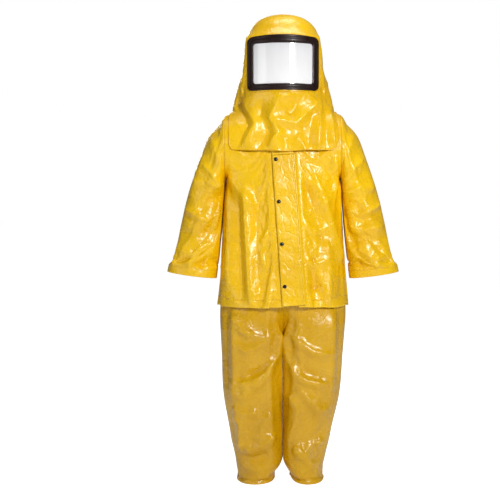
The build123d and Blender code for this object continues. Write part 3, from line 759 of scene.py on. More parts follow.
LONG_SEAMS = [((0,), (4,)), ((1,), (5,)), ((0,), (1,)), ((4,), (5,))]
HEM_SEAMS = [((2,), (0, 1)), ((6,), (4, 5)), ((3, 7), (0, 1, 4, 5))]
trouser_mesh = (trouser_points, trouser_normals, trouser_faces, trouser_labels)
long_welts, long_stitches = seam_parts(*trouser_mesh, LONG_SEAMS, 0.0016, 0.0007, 0.005)
hem_welts, hem_stitches = seam_parts(*trouser_mesh, HEM_SEAMS, 0.0012, 0.0006, 0.002)
place("trouser_seam_welts", *merged(long_welts + hem_welts), trouser_yellow_shaded, "trousers", slot="pvc_yellow")
place("trouser_stitching", *merged(long_stitches + hem_stitches), thread, "trousers", slot="woven")

# ---------------------------------------------------------------- jacket

HEM_Z, CHEST_Z, HEM_DEPTH, CHEST_DEPTH = 0.682, 1.220, 0.165, 0.125
ARM_X, ARM_Z, ARM_R = 0.213, 1.265, 0.120
TORSO = [(0.682, 0.252), (0.85, 0.238), (1.0, 0.224), (1.15, 0.2125), (1.22, 0.211), (1.27, 0.211)]
YOKE = [(0.0, 0.124, 0.162), (0.08, 0.124, 0.158), (0.15, 0.123, 0.144), (0.213, 0.12, 0.12)]
NECK = (0.084, 0.078)
JACKET_COLS, JACKET_HEM, JACKET_HALF = 77, 0.707, 0.2535
RUN = math.hypot(HEM_DEPTH - CHEST_DEPTH, CHEST_Z - HEM_Z)
FALL, CLIMB = (HEM_DEPTH - CHEST_DEPTH) / RUN, (CHEST_Z - HEM_Z) / RUN
LEAN = math.radians(4)
CLOSURE = np.array([-0.001, -0.1241, 1.232])
ACROSS = np.array([math.cos(LEAN), math.sin(LEAN) * FALL, math.sin(LEAN) * CLIMB])
OUT = np.array([0, -CLIMB, FALL])
AXES = np.array([ACROSS, np.cross(OUT, ACROSS), OUT])
SLOT_RIGHT, SLOT_LEFT, SLOT_TOP = -0.0343, 0.0201, 0.0502


def to_closure(points):
    return (points - CLOSURE) @ AXES.T


def from_closure(local):
    return CLOSURE + np.asarray(local, float) @ AXES


def outward(points, faces, centres):
    """Faces turned so that they look away from the centres."""
    away = (vertex_normals(points, faces) * (points - centres)).sum()
    return faces if away > 0 else faces[:, ::-1]


def front_depth(z):
    return HEM_DEPTH + (z - HEM_Z) / (CHEST_Z - HEM_Z) * (CHEST_DEPTH - HEM_DEPTH)


def yoke_depth(x, z):
    b, h = levels(YOKE, np.abs(x))
    return b * np.sqrt(np.clip(1 - ((z - ARM_Z) / h) ** 2, 0, 1))


def jacket_radius(turn, z):
    """Distance from the upright axis to the jacket, by the angle from straight ahead."""
    a = levels(TORSO, z)[0]
    c, s = np.maximum(np.abs(np.cos(turn)), 1e-9), np.maximum(np.abs(np.sin(turn)), 1e-9)
    body = ((s / a) ** 2.6 + (c / front_depth(z)) ** 2.6) ** (-1 / 2.6)
    reach = np.minimum(0.124 / c, ARM_X / s)
    for _ in range(16):
        found = np.minimum(yoke_depth(np.clip(reach * s, 0, ARM_X), z) / c, ARM_X / s)
        reach = (reach + found) / 2
    return np.maximum(body, reach)


def jacket_half(back):
    t = np.linspace(-1, 1, JACKET_COLS)[None, :]
    low_z = np.linspace(HEM_Z, ARM_Z - ARM_R, 53)[:, None] + 0 * t
    share = np.linspace(0, 1, 22)[1:, None]
    arm = share * np.pi / 2
    mid_z = ARM_Z - ARM_R * ((1 - share) * (1 - np.abs(t) ** 3) + np.cos(arm) * np.abs(t) ** 3)
    mid_turn = t * (np.pi / 2 - np.arctan2(ARM_R * np.sin(arm), ARM_X))
    z = np.concatenate([low_z, mid_z])
    turn = np.concatenate([t * np.pi / 2 + 0 * low_z, mid_turn])
    radius = jacket_radius(turn, z)
    x, y = radius * np.sin(turn), radius * np.cos(turn)
    x[53:, [0, -1]] = [-ARM_X, ARM_X]
    y[53:, [0, -1]] = ARM_R * np.sin(arm)
    over = np.linspace(0, np.pi / 2, 24)[1:, None]
    b, h = levels(YOKE, np.abs(x[-1]))
    x = np.concatenate([x, x[-1] + 0 * over])
    y = np.concatenate([y, b * np.cos(over)])
    z = np.concatenate([z, ARM_Z + h * np.sin(over)])
    return np.stack([x, y if back else -y, z], -1)


halves = [jacket_half(False), jacket_half(True)]
grid_faces = quads(halves[0].shape[0], JACKET_COLS, False)
jacket_points = np.concatenate([half.reshape(-1, 3) for half in halves])
jacket_faces = np.concatenate([grid_faces, grid_faces[:, ::-1] + halves[0].shape[0] * JACKET_COLS])
middle = jacket_points[jacket_faces].mean(1)
in_neck = (middle[:, 2] > 1.35) & ((middle[:, 0] / NECK[0]) ** 2 + (middle[:, 1] / NECK[1]) ** 2 < 1)
jacket_faces = jacket_faces[~in_neck]
jacket_points, jacket_faces = weld(jacket_points, jacket_faces)
jacket_faces = outward(jacket_points, jacket_faces, np.array([0, 0, 1.0]))
used, index = np.unique(jacket_faces, return_inverse=True)
jacket_points, jacket_faces = jacket_points[used], index.reshape(-1, 4)


def jacket_zones(points):
    """How firmly the jacket is held: at its closure, armholes and neck."""
    local = to_closure(points)
    hold = (1 - ease(0.046, 0.075, np.abs(local[:, 0]))) * (points[:, 1] < 0)
    from_arm = np.abs(np.hypot(points[:, 1], points[:, 2] - ARM_Z) - ARM_R)
    from_arm = from_arm + np.abs(np.abs(points[:, 0]) - ARM_X)
    hold = np.maximum(hold, 1 - ease(0.004, 0.03, from_arm))
    return np.maximum(hold, ease(1.31, 1.36, points[:, 2]))


JACKET_FOLDS = [
    ([(-0.139, 1.13), (-0.136, 1.0), (-0.128, 0.85), (-0.118, 0.682)], 0.0162, 0.011),
    ([(-0.165, 1.09), (-0.160, 0.9), (-0.152, 0.70)], -0.0121, 0.013),
    ([(-0.098, 1.10), (-0.094, 0.92), (-0.085, 0.70)], -0.0081, 0.010),
    ([(-0.200, 1.12), (-0.208, 0.93), (-0.205, 0.74)], 0.0108, 0.012),
    ([(-0.205, 1.17), (-0.150, 1.09), (-0.095, 1.04)], 0.0095, 0.010),
    ([(0.105, 1.19), (0.165, 1.02), (0.215, 0.87), (0.238, 0.80)], 0.0135, 0.011),
    ([(0.185, 1.23), (0.205, 1.16), (0.224, 1.08)], 0.0108, 0.009),
    ([(0.075, 1.15), (0.120, 1.02), (0.150, 0.90)], -0.0095, 0.011),
    ([(0.205, 1.13), (0.150, 1.06), (0.085, 1.02)], 0.0081, 0.009),
    ([(0.160, 0.93), (0.172, 0.80), (0.168, 0.69)], 0.0121, 0.011),
    ([(0.110, 0.88), (0.118, 0.78), (0.120, 0.69)], -0.0095, 0.011),
    ([(0.215, 0.86), (0.222, 0.76), (0.222, 0.69)], -0.0081, 0.011),
    ([(0.050, 1.00), (0.110, 0.955), (0.165, 0.97)], 0.0081, 0.008),
    ([(0.055, 0.87), (0.110, 0.835), (0.160, 0.85)], 0.0081, 0.008),
    ([(-0.055, 0.96), (-0.090, 0.90), (-0.070, 0.83)], 0.0068, 0.008),
    ([(0.050, 0.78), (0.095, 0.745), (0.150, 0.76)], -0.0081, 0.008),
]
heights = folded(jacket_points, jacket_faces, JACKET_FOLDS)
hold = jacket_zones(jacket_points)
jacket_points = crease(jacket_points, jacket_faces, heights * (1 - hold) * EARLY)
soft_hold = np.maximum(hold, 0.03 + 0.15 * (1 - ease(HEM_Z, HEM_Z + 0.03, jacket_points[:, 2])))
jacket_points = drape(
    "jacket_drape", jacket_points, jacket_faces, soft_hold, 18, 0.03, 16, 0.8, 1.0, 0.014)
middle = jacket_points[jacket_faces].mean(1)
jacket_labels = np.where(middle[:, 1] > 0, 2, np.where(middle[:, 0] > 0, 0, 1))
jacket_labels = np.where((middle[:, 2] < JACKET_HEM), 3, jacket_labels)
jacket_points, jacket_faces, jacket_labels = refine(jacket_points, jacket_faces, jacket_labels)
area = ((-0.22, 0.69), (0.22, 1.22))
heights = both_faces(jacket_points, jacket_faces, 11, 44, 0.13, 0.0032, 0.007, (-60, 60), area)
heights += both_faces(jacket_points, jacket_faces, 12, 70, 0.09, 0.0030, 0.0045, (50, 130),
                      ((-0.09, 0.70), (0.18, 1.12)))
heights += folded(jacket_points, jacket_faces, JACKET_FOLDS) * LATE
heights += both_faces(jacket_points, jacket_faces, 13, 26, 0.16, 0.0036, 0.008, (60, 120), area)
hold = jacket_zones(jacket_points)
jacket_points = crease(jacket_points, jacket_faces, heights * (1 - hold))
widest = levels(TORSO, jacket_points[:, 2])[0] + 0.0022
below_arm = jacket_points[:, 2] < ARM_Z - ARM_R
jacket_points[:, 0] = np.where(below_arm, np.clip(jacket_points[:, 0], -widest, widest), jacket_points[:, 0])
jacket_points[:, 0] = np.clip(jacket_points[:, 0], -JACKET_HALF, JACKET_HALF)
jacket_points[~below_arm, 0] = np.clip(jacket_points[~below_arm, 0], -ARM_X, ARM_X)

local = to_closure(jacket_points)
flatten = (1 - ease(0.046, 0.075, np.abs(local[:, 0]))) * (jacket_points[:, 1] < 0) * (local[:, 1] < 0.08)
local[:, 2] *= 1 - flatten
jacket_points = from_closure(local)
middle = to_closure(jacket_points[jacket_faces].mean(1))
in_front = jacket_points[jacket_faces].mean(1)[:, 1] < 0
in_slot = (middle[:, 0] > SLOT_RIGHT) & (middle[:, 0] < SLOT_LEFT) & (middle[:, 1] < SLOT_TOP) & in_front
slot_points = np.intersect1d(jacket_faces[in_slot], jacket_faces[~in_slot])
jacket_faces, jacket_labels = jacket_faces[~in_slot], jacket_labels[~in_slot]
local = to_closure(jacket_points)
edge = np.where(local[:, 0] < (SLOT_RIGHT + SLOT_LEFT) / 2, SLOT_RIGHT, SLOT_LEFT)
at_top = local[slot_points, 1] > SLOT_TOP - 0.006
inner = slot_points[at_top & (np.abs(local[slot_points, 0] - edge[slot_points]) > 0.004)]
local[inner, 1] = SLOT_TOP
beside = np.setdiff1d(slot_points, inner)
local[beside, 0] = edge[beside]
jacket_points = from_closure(local)
rim = np.unique(np.concatenate(seam_path(jacket_faces, np.zeros(len(jacket_faces), int), (0,), None)))
at_neck = rim[(jacket_points[rim, 2] > 1.36) & (np.abs(jacket_points[rim, 0]) < 0.13)]
angle = np.arctan2(jacket_points[at_neck, 1] / NECK[1], jacket_points[at_neck, 0] / NECK[0])
neck_x, neck_y = NECK[0] * np.cos(angle), NECK[1] * np.sin(angle)
b, h = levels(YOKE, np.abs(neck_x))
neck_z = ARM_Z + h * np.sqrt(np.clip(1 - (neck_y / b) ** 2, 0, 1))
jacket_points[at_neck] = np.stack([neck_x, neck_y, neck_z], -1)
jacket_normals = vertex_normals(jacket_points, jacket_faces)
for label, node in enumerate(("jacket_front_left", "jacket_front_right", "jacket_back", "jacket_hem")):
    panel(f"{node}_cloth", jacket_points, jacket_faces[jacket_labels == label], yellow, "jacket", [node])


seams("jacket_seam", jacket_points, jacket_normals, jacket_faces, jacket_labels,
      [((0,), (2,)), ((1,), (2,)), ((3,), (0, 1, 2)), ((0,), (1,))], yellow, "jacket", 0.0025)

turn = np.radians(np.linspace(-83.5, 263.5, 120))[None, :]
up = np.linspace(0, 1, 12)[:, None]
ripple = 0.0012 * np.sin(9 * turn + 3 * up) * np.sin(np.pi * up)
flare = 0.999 + 0.02 * up + ripple / NECK[0]
collar = np.stack([NECK[0] * flare * np.cos(turn), NECK[1] * flare * np.sin(turn),
                   1.382 + 0.069 * up + 0 * turn], -1)
collar_faces = quads(12, 120, False)
collar_points = collar.reshape(-1, 3)
collar_faces = outward(collar_points, collar_faces, np.array([0, 0, 1.41]))
panel("jacket_collar_cloth", collar_points, collar_faces, yellow, "jacket", ["jacket_collar"], 0.0016)
for side in (LEFT, RIGHT):
    turn = np.linspace(0, 2 * np.pi, 121)
    ring = np.stack([np.full(121, side * (ARM_X - 0.005)), 0.1165 * np.cos(turn),
                     ARM_Z + 0.1165 * np.sin(turn)], -1)
    inward = np.stack([0 * turn, -np.cos(turn), -np.sin(turn)], -1)
    place(f"armhole_binding_{SIDE_NAME[side]}_tape", *ribbon(ring, inward, 0.004, 0.001), webbing, "jacket",
          [f"armhole_binding_{SIDE_NAME[side]}"], "woven")
    ring = np.stack([np.full(121, side * (ARM_X - 0.0016)), 0.1208 * np.cos(turn),
                     ARM_Z + 0.1208 * np.sin(turn)], -1)
    place(f"armhole_welt_{SIDE_NAME[side]}", *ribbon(ring, -inward, 0.0018, 0.0011), yellow, "jacket", (),
          "pvc_yellow")

turn = np.linspace(-0.35, np.pi + 0.35, 30)
loop = np.stack([0 * turn, 0.0725 - 0.0035 * np.sin(turn), 1.436 + 0.012 * np.cos(turn)], -1)
loop_normal = np.stack([0 * turn, -np.sin(turn), np.cos(turn)], -1)
place("hanger_loop_tape", *ribbon(loop, loop_normal, 0.004, 0.0008), webbing, "jacket",
      ["hanger_loop"], "woven")

# ---------------------------------------------------------------- front closure

FLAP_EDGE, FLAP_HINGE, FLAP_LOW = -0.039, 0.0386, -0.547
SNAP_X, SNAP_FIRST, SNAP_PITCH, SNAPS = -0.026, -0.0155, 0.1535, 4


def closure_strip(name, x_span, y_span, shape, body, replaces, thickness, cols):
    """A strip of cloth in the closure's own plane, whose height comes from shape(x, y)."""
    count = max(int((y_span[1] - y_span[0]) / 0.0035), 6)
    y = np.linspace(*y_span, count)[:, None]
    x = np.linspace(*x_span, cols)[None, :]
    grid = np.stack([x + 0 * y, y + 0 * x, shape(x, y) + 0 * x * y], -1).reshape(-1, 3)
    points = from_closure(grid)
    faces = outward(points, quads(count, cols, False), points - OUT)
    panel(name, points, faces, yellow, body, replaces, thickness)


def flap_height(x, y):
    nearest = (np.cos(2 * np.pi * (y - SNAP_FIRST) / SNAP_PITCH) + 1) / 2
    free = ease(0.01, FLAP_EDGE, x)
    pucker = 0.0026 * (1 - nearest) * free
    ripple = 0.0005 * np.sin(95 * y + 40 * x) + 0.0004 * np.sin(210 * y - 90 * x + 1) * free
    rolled = -0.0007 * ease(FLAP_EDGE + 0.004, FLAP_EDGE, x)
    return 0.0079 + pucker + ripple * (1 - 0.6 * nearest) + rolled


def seam_height(x, y):
    return 0.0008 + 0.0071 * (1 - ease(0.0405, 0.0515, x)) + 0.0003 * np.sin(120 * y)


closure_strip(
    "storm_flap_cloth", (FLAP_EDGE, FLAP_HINGE), (FLAP_LOW, -0.0006), flap_height, "flap", ["storm_flap"],
    0.0016, 25)
closure_strip("flap_seam_cloth", (0.0392, 0.052), (FLAP_LOW, -0.0006), seam_height, "jacket",
              ["flap_seam"], 0.0012, 9)
closure_strip("placket_top_cloth", (-0.039, 0.0388), (0.0006, 0.050),
              lambda x, y: 0.0078 + 0.0006 * np.sin(60 * x + 90 * y), "jacket", ["placket_top"], 0.0016, 25)
closure_strip("placket_underlap_cloth", (-0.0340, -0.0203), (FLAP_LOW + 0.002, 0.050),
              lambda x, y: 0.0007 + 0.0002 * np.sin(130 * y), "jacket", ["placket_underlap"], 0.0014, 7)
for side, span in ((LEFT, (0.0004, 0.0198)), (RIGHT, (-0.0198, -0.0004))):
    node = f"zipper_tape_{SIDE_NAME[side]}"
    closure_strip(f"{node}_cloth", span, (FLAP_LOW + 0.002, 0.050),
                  lambda x, y: 0.0004 + 0.00012 * np.sin(160 * y), "jacket", [node], 0.0009, 7)
    bpy.data.objects[f"{node}_cloth"].data.materials[0] = webbing

rows = []
for x in (-0.0355, 0.0345, 0.031):
    y = np.linspace(FLAP_LOW + 0.004, -0.004, 220)
    line = from_closure(np.stack([x + 0 * y, y, flap_height(np.full(220, x), y)], -1))
    rows.append(stitch_row(line, np.broadcast_to(OUT, line.shape), 0.0))
place("flap_stitching", *merged(rows), thread, "flap", slot="woven")


def lathe(profile):
    """A turned form about +Z, from (radius, height) pairs, closed at both ends."""
    count = 40
    turn = np.linspace(0, 2 * np.pi, count, endpoint=False)
    rings = [np.stack([r * np.cos(turn), r * np.sin(turn), np.full(count, h)], -1) for r, h in profile]
    faces = quads(len(profile), count, True).tolist()
    last = (len(profile) - 1) * count
    return np.concatenate(rings), faces + [list(range(count))[::-1], [last + k for k in range(count)]]


CAP = [(0.0052, 0.0046), (0.0055, 0.0049), (0.0055, 0.0056), (0.0050, 0.0058), (0.0023, 0.0058),
       (0.0022, 0.0062), (0.0022, 0.0080), (0.0066, 0.0081), (0.0071, 0.0084), (0.0072, 0.0089),
       (0.0069, 0.0094), (0.0063, 0.0096), (0.0059, 0.0094), (0.0055, 0.0096), (0.0048, 0.0101),
       (0.0036, 0.0104), (0.0018, 0.0105), (0.0004, 0.0105)]
STUD = [(0.0053, 0.0008), (0.0055, 0.0011), (0.0055, 0.0017), (0.0050, 0.0020), (0.0024, 0.0021),
        (0.0018, 0.0024), (0.0017, 0.0030), (0.0021, 0.0034), (0.0020, 0.0039), (0.0012, 0.0041),
        (0.0003, 0.0041)]
for number in range(SNAPS):
    seat = np.array([SNAP_X, SNAP_FIRST - SNAP_PITCH * number, 0])
    for kind, profile, material, body, slot in (("cap", CAP, black_snap, "flap", "snap_black"),
                                                ("stud", STUD, steel, "jacket", "metal")):
        shape, faces = lathe(profile)
        place(f"snap_{kind}_{number + 1}_turned", from_closure(shape + seat), faces, material, body,
              [f"snap_{kind}_{number + 1}"], slot)

y = np.arange(-0.539, -0.0065, 0.0009)
teeth = []
for way in (1, -1):
    line = from_closure(np.stack([way * 0.0007 + 0 * y, y, 0.0022 + 0 * y], -1))
    shape, faces = stitch_row(line, np.broadcast_to(OUT, line.shape), 0.0, 0.0018, 0.0010, 0.0009)
    local = to_closure(shape)
    local[:, 0] = way * 0.0009 + (local[:, 0] - way * 0.0007) * 1.5
    local[:, 1] += 0.00045 * way
    teeth.append((from_closure(local), faces))
place("zipper_teeth", *merged(teeth), zip_plastic, "jacket", ["zipper_coil"], "zipper")


def rounded_plate(half_x, half_y, corner, low, high, dome=0.0, hole=0.0):
    """A plate with rounded corners and softened edges; with a hole it is a ring."""
    turn = np.linspace(0, 2 * np.pi, 48, endpoint=False)
    c, s = np.cos(turn), np.sin(turn)
    x = np.sign(c) * (half_x - corner) + corner * c
    y = np.sign(s) * (half_y - corner) + corner * s
    soft = min(corner, (high - low)) * 0.35
    layers = [(0.6, low), (1 - soft / half_x, low), (1.0, low + soft), (1.0, high - soft),
              (1 - soft / half_x, high),
              (0.6, high + dome), (0.25, high + dome * 1.2)]
    if hole:
        layers = [(hole, low + soft)] + layers[1:5] + [(hole, high - soft)]
    rings = [np.stack([x * k, y * k, np.full(48, h)], -1) for k, h in layers]
    faces = quads(len(layers), 48, True)
    if hole:
        closing = np.stack([np.arange(48) + 48 * (len(layers) - 1),
                            (np.arange(48) + 1) % 48 + 48 * (len(layers) - 1),
                            (np.arange(48) + 1) % 48, np.arange(48)], -1)
        return np.concatenate(rings), np.concatenate([faces, closing]).tolist()
    last = 48 * (len(layers) - 1)
    return np.concatenate(rings), faces.tolist() + [list(range(48))[::-1], [last + k for k in range(48)]]


def moved(part, offset):
    return part[0] + np.asarray(offset), part[1]


slider_parts = [moved(rounded_plate(0.0036, 0.006, 0.0016, 0.0039, 0.0049, 0.0003), (0, -0.012, 0)),
                moved(rounded_plate(0.0006, 0.003, 0.0005, 0.0018, 0.0042), (0, -0.0088, 0)),
                moved(rounded_plate(0.0012, 0.0026, 0.0006, 0.0049, 0.0052), (0, -0.0115, 0))]
shape, faces = merged(slider_parts)
place("zipper_slider_body", from_closure(shape), faces, steel, "zip", ["zipper_slider"], "metal")
shape, faces = merged([moved(rounded_plate(0.0022, 0.012, 0.002, 0.0052, 0.0057, 0, 0.55), (0, -0.026, 0)),
                       moved(rounded_plate(0.0018, 0.0045, 0.0014, 0.0051, 0.0058), (0, -0.0325, 0))])
place("zipper_pull_tab", from_closure(shape), faces, steel, "zip", ["zipper_pull"], "metal")

# ---------------------------------------------------------------- sleeves

SLEEVE = [((0.2138, 1.145), (0.2138, 1.385), 0.120), ((0.217, 1.132), (0.284, 1.322), 0.109),
          ((0.217, 1.116), (0.326, 1.222), 0.092), ((0.219, 1.078), (0.366, 1.106), 0.081),
          ((0.226, 0.985), (0.393, 1.000), 0.076), ((0.238, 0.880), (0.416, 0.890), 0.070),
          ((0.248, 0.798), (0.434, 0.820), 0.066), ((0.251, 0.772), (0.439, 0.798), 0.065)]
SLEEVE_ROWS, SLEEVE_COLS, CUFF_ROWS, SLEEVE_IN = 74, 80, 4, 0.2136
SLEEVE_FOLDS = [
    ([(0.232, 1.035), (0.280, 1.000), (0.335, 1.030), (0.376, 1.052)], 0.0120, 0.009),
    ([(0.238, 0.990), (0.295, 0.965), (0.384, 0.992)], 0.0108, 0.009),
    ([(0.242, 1.012), (0.300, 0.985), (0.378, 1.022)], -0.0096, 0.009),
    ([(0.246, 0.945), (0.310, 0.930), (0.392, 0.938)], -0.0084, 0.010),
    ([(0.224, 1.120), (0.258, 1.175), (0.296, 1.215)], 0.0108, 0.010),
    ([(0.224, 1.100), (0.285, 1.125), (0.340, 1.120)], 0.0108, 0.010),
    ([(0.220, 1.180), (0.240, 1.250), (0.262, 1.310)], 0.0096, 0.010),
    ([(0.226, 1.072), (0.268, 1.058), (0.310, 1.010)], -0.0096, 0.010),
    ([(0.300, 1.250), (0.318, 1.170), (0.345, 1.090)], 0.0072, 0.010),
    ([(0.268, 0.905), (0.330, 0.858), (0.395, 0.872)], 0.0096, 0.011),
    ([(0.300, 0.930), (0.345, 0.850), (0.352, 0.785)], 0.0108, 0.011),
    ([(0.272, 0.860), (0.300, 0.820), (0.310, 0.780)], -0.0084, 0.010),
    ([(0.398, 0.930), (0.408, 0.860), (0.412, 0.800)], 0.0072, 0.010),
]


def build_sleeve(side):
    name = SIDE_NAME[side]
    body = f"arm_{name}"
    middles = np.array([[(a[0] + b[0]) / 2, (a[1] + b[1]) / 2] for a, b, _ in SLEEVE])
    along = np.concatenate([[0], np.cumsum(np.linalg.norm(np.diff(middles, axis=0), axis=1))])
    table = [(s, *a, *b, d) for s, (a, b, d) in zip(along / along[-1], SLEEVE)]
    row = np.linspace(0, 1, SLEEVE_ROWS)
    ix, iz, ox, oz, depth = [v[:, None] for v in levels(table, row)]
    turn = np.linspace(0, 2 * np.pi, SLEEVE_COLS, endpoint=False)[None, :]
    x = (ix + ox) / 2 + (ox - ix) / 2 * np.cos(turn)
    z = (iz + oz) / 2 + (oz - iz) / 2 * np.cos(turn)
    y = depth * np.sin(turn)
    points = np.stack([side * x, y, z], -1).reshape(-1, 3)
    centres = np.stack([side * (ix + ox) / 2 + 0 * x, 0 * y, (iz + oz) / 2 + 0 * x], -1).reshape(-1, 3)
    faces = outward(points, quads(SLEEVE_ROWS, SLEEVE_COLS, True), centres)
    place_down = np.repeat(row, SLEEVE_COLS)
    hold = np.maximum(1 - ease(0.01, 0.05, place_down), ease(0.90, 0.95, place_down))
    folds = [([(fx, fz + 0.012 * math.sin(3.1 * k + side)) for fx, fz in path],
              rise * (1 + 0.2 * math.sin(5 * k + side)), w) for k, (path, rise, w) in enumerate(SLEEVE_FOLDS)]
    flat = np.stack([points[:, 0] * side, points[:, 2]], -1)
    heights = fold_heights(flat, folds) * facing(points, faces, True)
    turned = [([(fx, fz - 0.02 * math.sin(2 * k)) for fx, fz in path], rise, w)
              for k, (path, rise, w) in enumerate(folds)]
    heights += fold_heights(flat, turned) * facing(points, faces, False)
    points = crease(points, faces, heights * (1 - hold) * EARLY)
    points = drape(
        f"sleeve_drape_{name}", points, faces, np.maximum(hold, 0.035), 16, 0.035, 15, 0.7, 1.0, 0.014)
    labels = np.repeat(np.where(np.arange(SLEEVE_ROWS - 1) >= SLEEVE_ROWS - 1 - CUFF_ROWS, 1, 0), SLEEVE_COLS)
    points, faces, labels = refine(points, faces, labels)
    area = ((0.22 * side, 0.79), (0.41 * side, 1.33)) if side > 0 else ((-0.41, 0.79), (-0.22, 1.33))
    heights = both_faces(points, faces, 20 + side, 46, 0.07, 0.0030, 0.005, (-50, 50), area)
    flat = np.stack([points[:, 0] * side, points[:, 2]], -1)
    heights += fold_heights(flat, folds) * facing(points, faces, True) * LATE
    heights += fold_heights(flat, turned) * facing(points, faces, False) * LATE
    heights += both_faces(points, faces, 30 + side, 40, 0.05, 0.0022, 0.004, (-90, 90), area)
    from_arm = np.hypot(np.hypot(points[:, 1], points[:, 2] - ARM_Z) - ARM_R, np.abs(points[:, 0]) - ARM_X)
    from_cuff = (points[:, 2] - 0.772) - (np.abs(points[:, 0]) - 0.251) * 0.145
    free = ease(0.006, 0.04, from_arm) * (0.25 + 0.75 * ease(0.01, 0.05, from_cuff))
    points = crease(points, faces, heights * free)
    clear = np.where(points[:, 2] < ARM_Z - ARM_R, levels(TORSO, points[:, 2])[0] + 0.0042, SLEEVE_IN)
    outer = np.maximum(points[:, 0] * side, np.maximum(clear, SLEEVE_IN))
    points[:, 0] = outer * side
    normals = vertex_normals(points, faces)
    panel(f"sleeve_{name}_cloth", points, faces[labels == 0], yellow, body, [f"sleeve_{name}"])
    panel(f"sleeve_hem_{name}_cloth", points, faces[labels == 1], yellow, body, [f"sleeve_hem_{name}"])
    seams(f"sleeve_{name}_seam", points, normals, faces, labels, [((0,), (1,))], yellow, body, 0.002)


for side in (LEFT, RIGHT):
    build_sleeve(side)

# ---------------------------------------------------------------- hood

BELL = [(1.376, 0.206, 0.146), (1.42, 0.200, 0.147), (1.46, 0.189, 0.146), (1.53, 0.169, 0.145),
        (1.61, 0.141, 0.143), (1.655, 0.133, 0.140)]
SADDLE = [(0.0, 0.152, 0.169, 5.0), (0.08, 0.151, 0.165, 4.0), (0.15, 0.146, 0.150, 2.6),
          (0.209, 0.129, 0.129, 2.0)]
BELL_LOW, DOME_Z, DOME_RISE, CAPE_X, CAPE_R = 1.394, 1.655, 0.095, 0.209, 0.129
CAPE_FRONT, CAPE_BACK, CROWN_SEAM = 1.240, 1.200, 1.636
VISOR_Z, VISOR_AXIS, FABRIC_R = 1.554, 0.027, 0.1842
FRAME_W, FRAME_H, OPEN_W, OPEN_H = 0.258, 0.188, 0.212, 0.142
HOOD_HALF, DOME_ROWS, BELL_ROWS, CAPE_ROWS = 94, 15, 31, 22


def cape_edge(share, low):
    """Hem of the cape on one half: down the side arch, across and up the other arch. y is positive."""
    arch, drop, across = CAPE_R * np.pi / 2, ARM_Z - low, 2 * CAPE_X
    along = share * (2 * (arch + drop) + across)
    mirror = along > arch + drop + across / 2
    along = np.where(mirror, 2 * (arch + drop) + across - along, along)
    angle = np.clip(along / CAPE_R, 0, np.pi / 2)
    x = CAPE_X - np.clip(along - arch - drop, 0, CAPE_X)
    y = CAPE_R * np.sin(angle)
    wide = levels(SADDLE, x)[0]
    y = np.where(along > arch, wide, y)
    z = np.where(along > arch, ARM_Z - np.clip(along - arch, 0, drop), ARM_Z + CAPE_R * np.cos(angle))
    return np.where(mirror, -x, x), y, z


def hood_half(back):
    share = np.linspace(0, 1, HOOD_HALF + 1)[None, :]
    turn = np.pi * share
    rise = np.linspace(np.pi / 2 - 0.07, 0, DOME_ROWS)[:-1, None]
    a, b = BELL[-1][1:]
    size = np.cos(rise) ** 0.86
    rows = [(a * size * np.cos(turn), b * size * np.sin(turn),
             DOME_Z + DOME_RISE * np.sin(rise) ** 0.94 + 0 * turn)]
    z = np.linspace(DOME_Z, BELL_LOW, BELL_ROWS)[:, None]
    a, b = levels(BELL, z)
    rows.append((a * np.cos(turn), b * np.sin(turn), z + 0 * turn))
    x0, y0, z0 = [v[-1][None, :] for v in rows[-1]]
    x1, y1, z1 = cape_edge(share, CAPE_BACK if back else CAPE_FRONT)
    down = np.linspace(0, 1, CAPE_ROWS)[1:, None]
    x = x0 + (x1 - x0) * down
    y = y0 + (y1 - y0) * down
    z = z0 + (z1 - z0) * down
    depth, high, power = levels(SADDLE, np.abs(x))
    slope = np.arctan2(np.maximum(z - ARM_Z, 0), np.maximum(y, 1e-6))
    reach = ((np.cos(slope) / depth) ** power + (np.sin(slope) / high) ** power) ** (-1 / power)
    above = z > ARM_Z
    fit_y = np.where(above, reach * np.cos(slope), depth)
    fit_z = np.where(above, ARM_Z + reach * np.sin(slope), z)
    blend = ease(0, 0.3, down)
    rows.append((x, y + (fit_y - y) * blend, z + (fit_z - z) * blend))
    grid = [np.concatenate([part[k] for part in rows]) for k in range(3)]
    return np.stack([grid[0], grid[1] if back else -grid[1], grid[2]], -1)


def from_visor(points):
    """Distance in the front view from the visor frame's outer edge, 0 inside it."""
    dx = np.maximum(np.abs(points[:, 0]) - FRAME_W / 2, 0)
    dz = np.maximum(np.abs(points[:, 2] - VISOR_Z) - FRAME_H / 2, 0)
    return np.where(points[:, 1] < 0, np.hypot(dx, dz), 1.0)


def draw_to_visor(points, width):
    share = 1 - ease(0.0015, width, from_visor(points))
    target = VISOR_AXIS - np.sqrt(np.maximum(FABRIC_R**2 - points[:, 0] ** 2, 0.0001))
    moved = points.copy()
    moved[:, 1] += (target - points[:, 1]) * share
    return moved


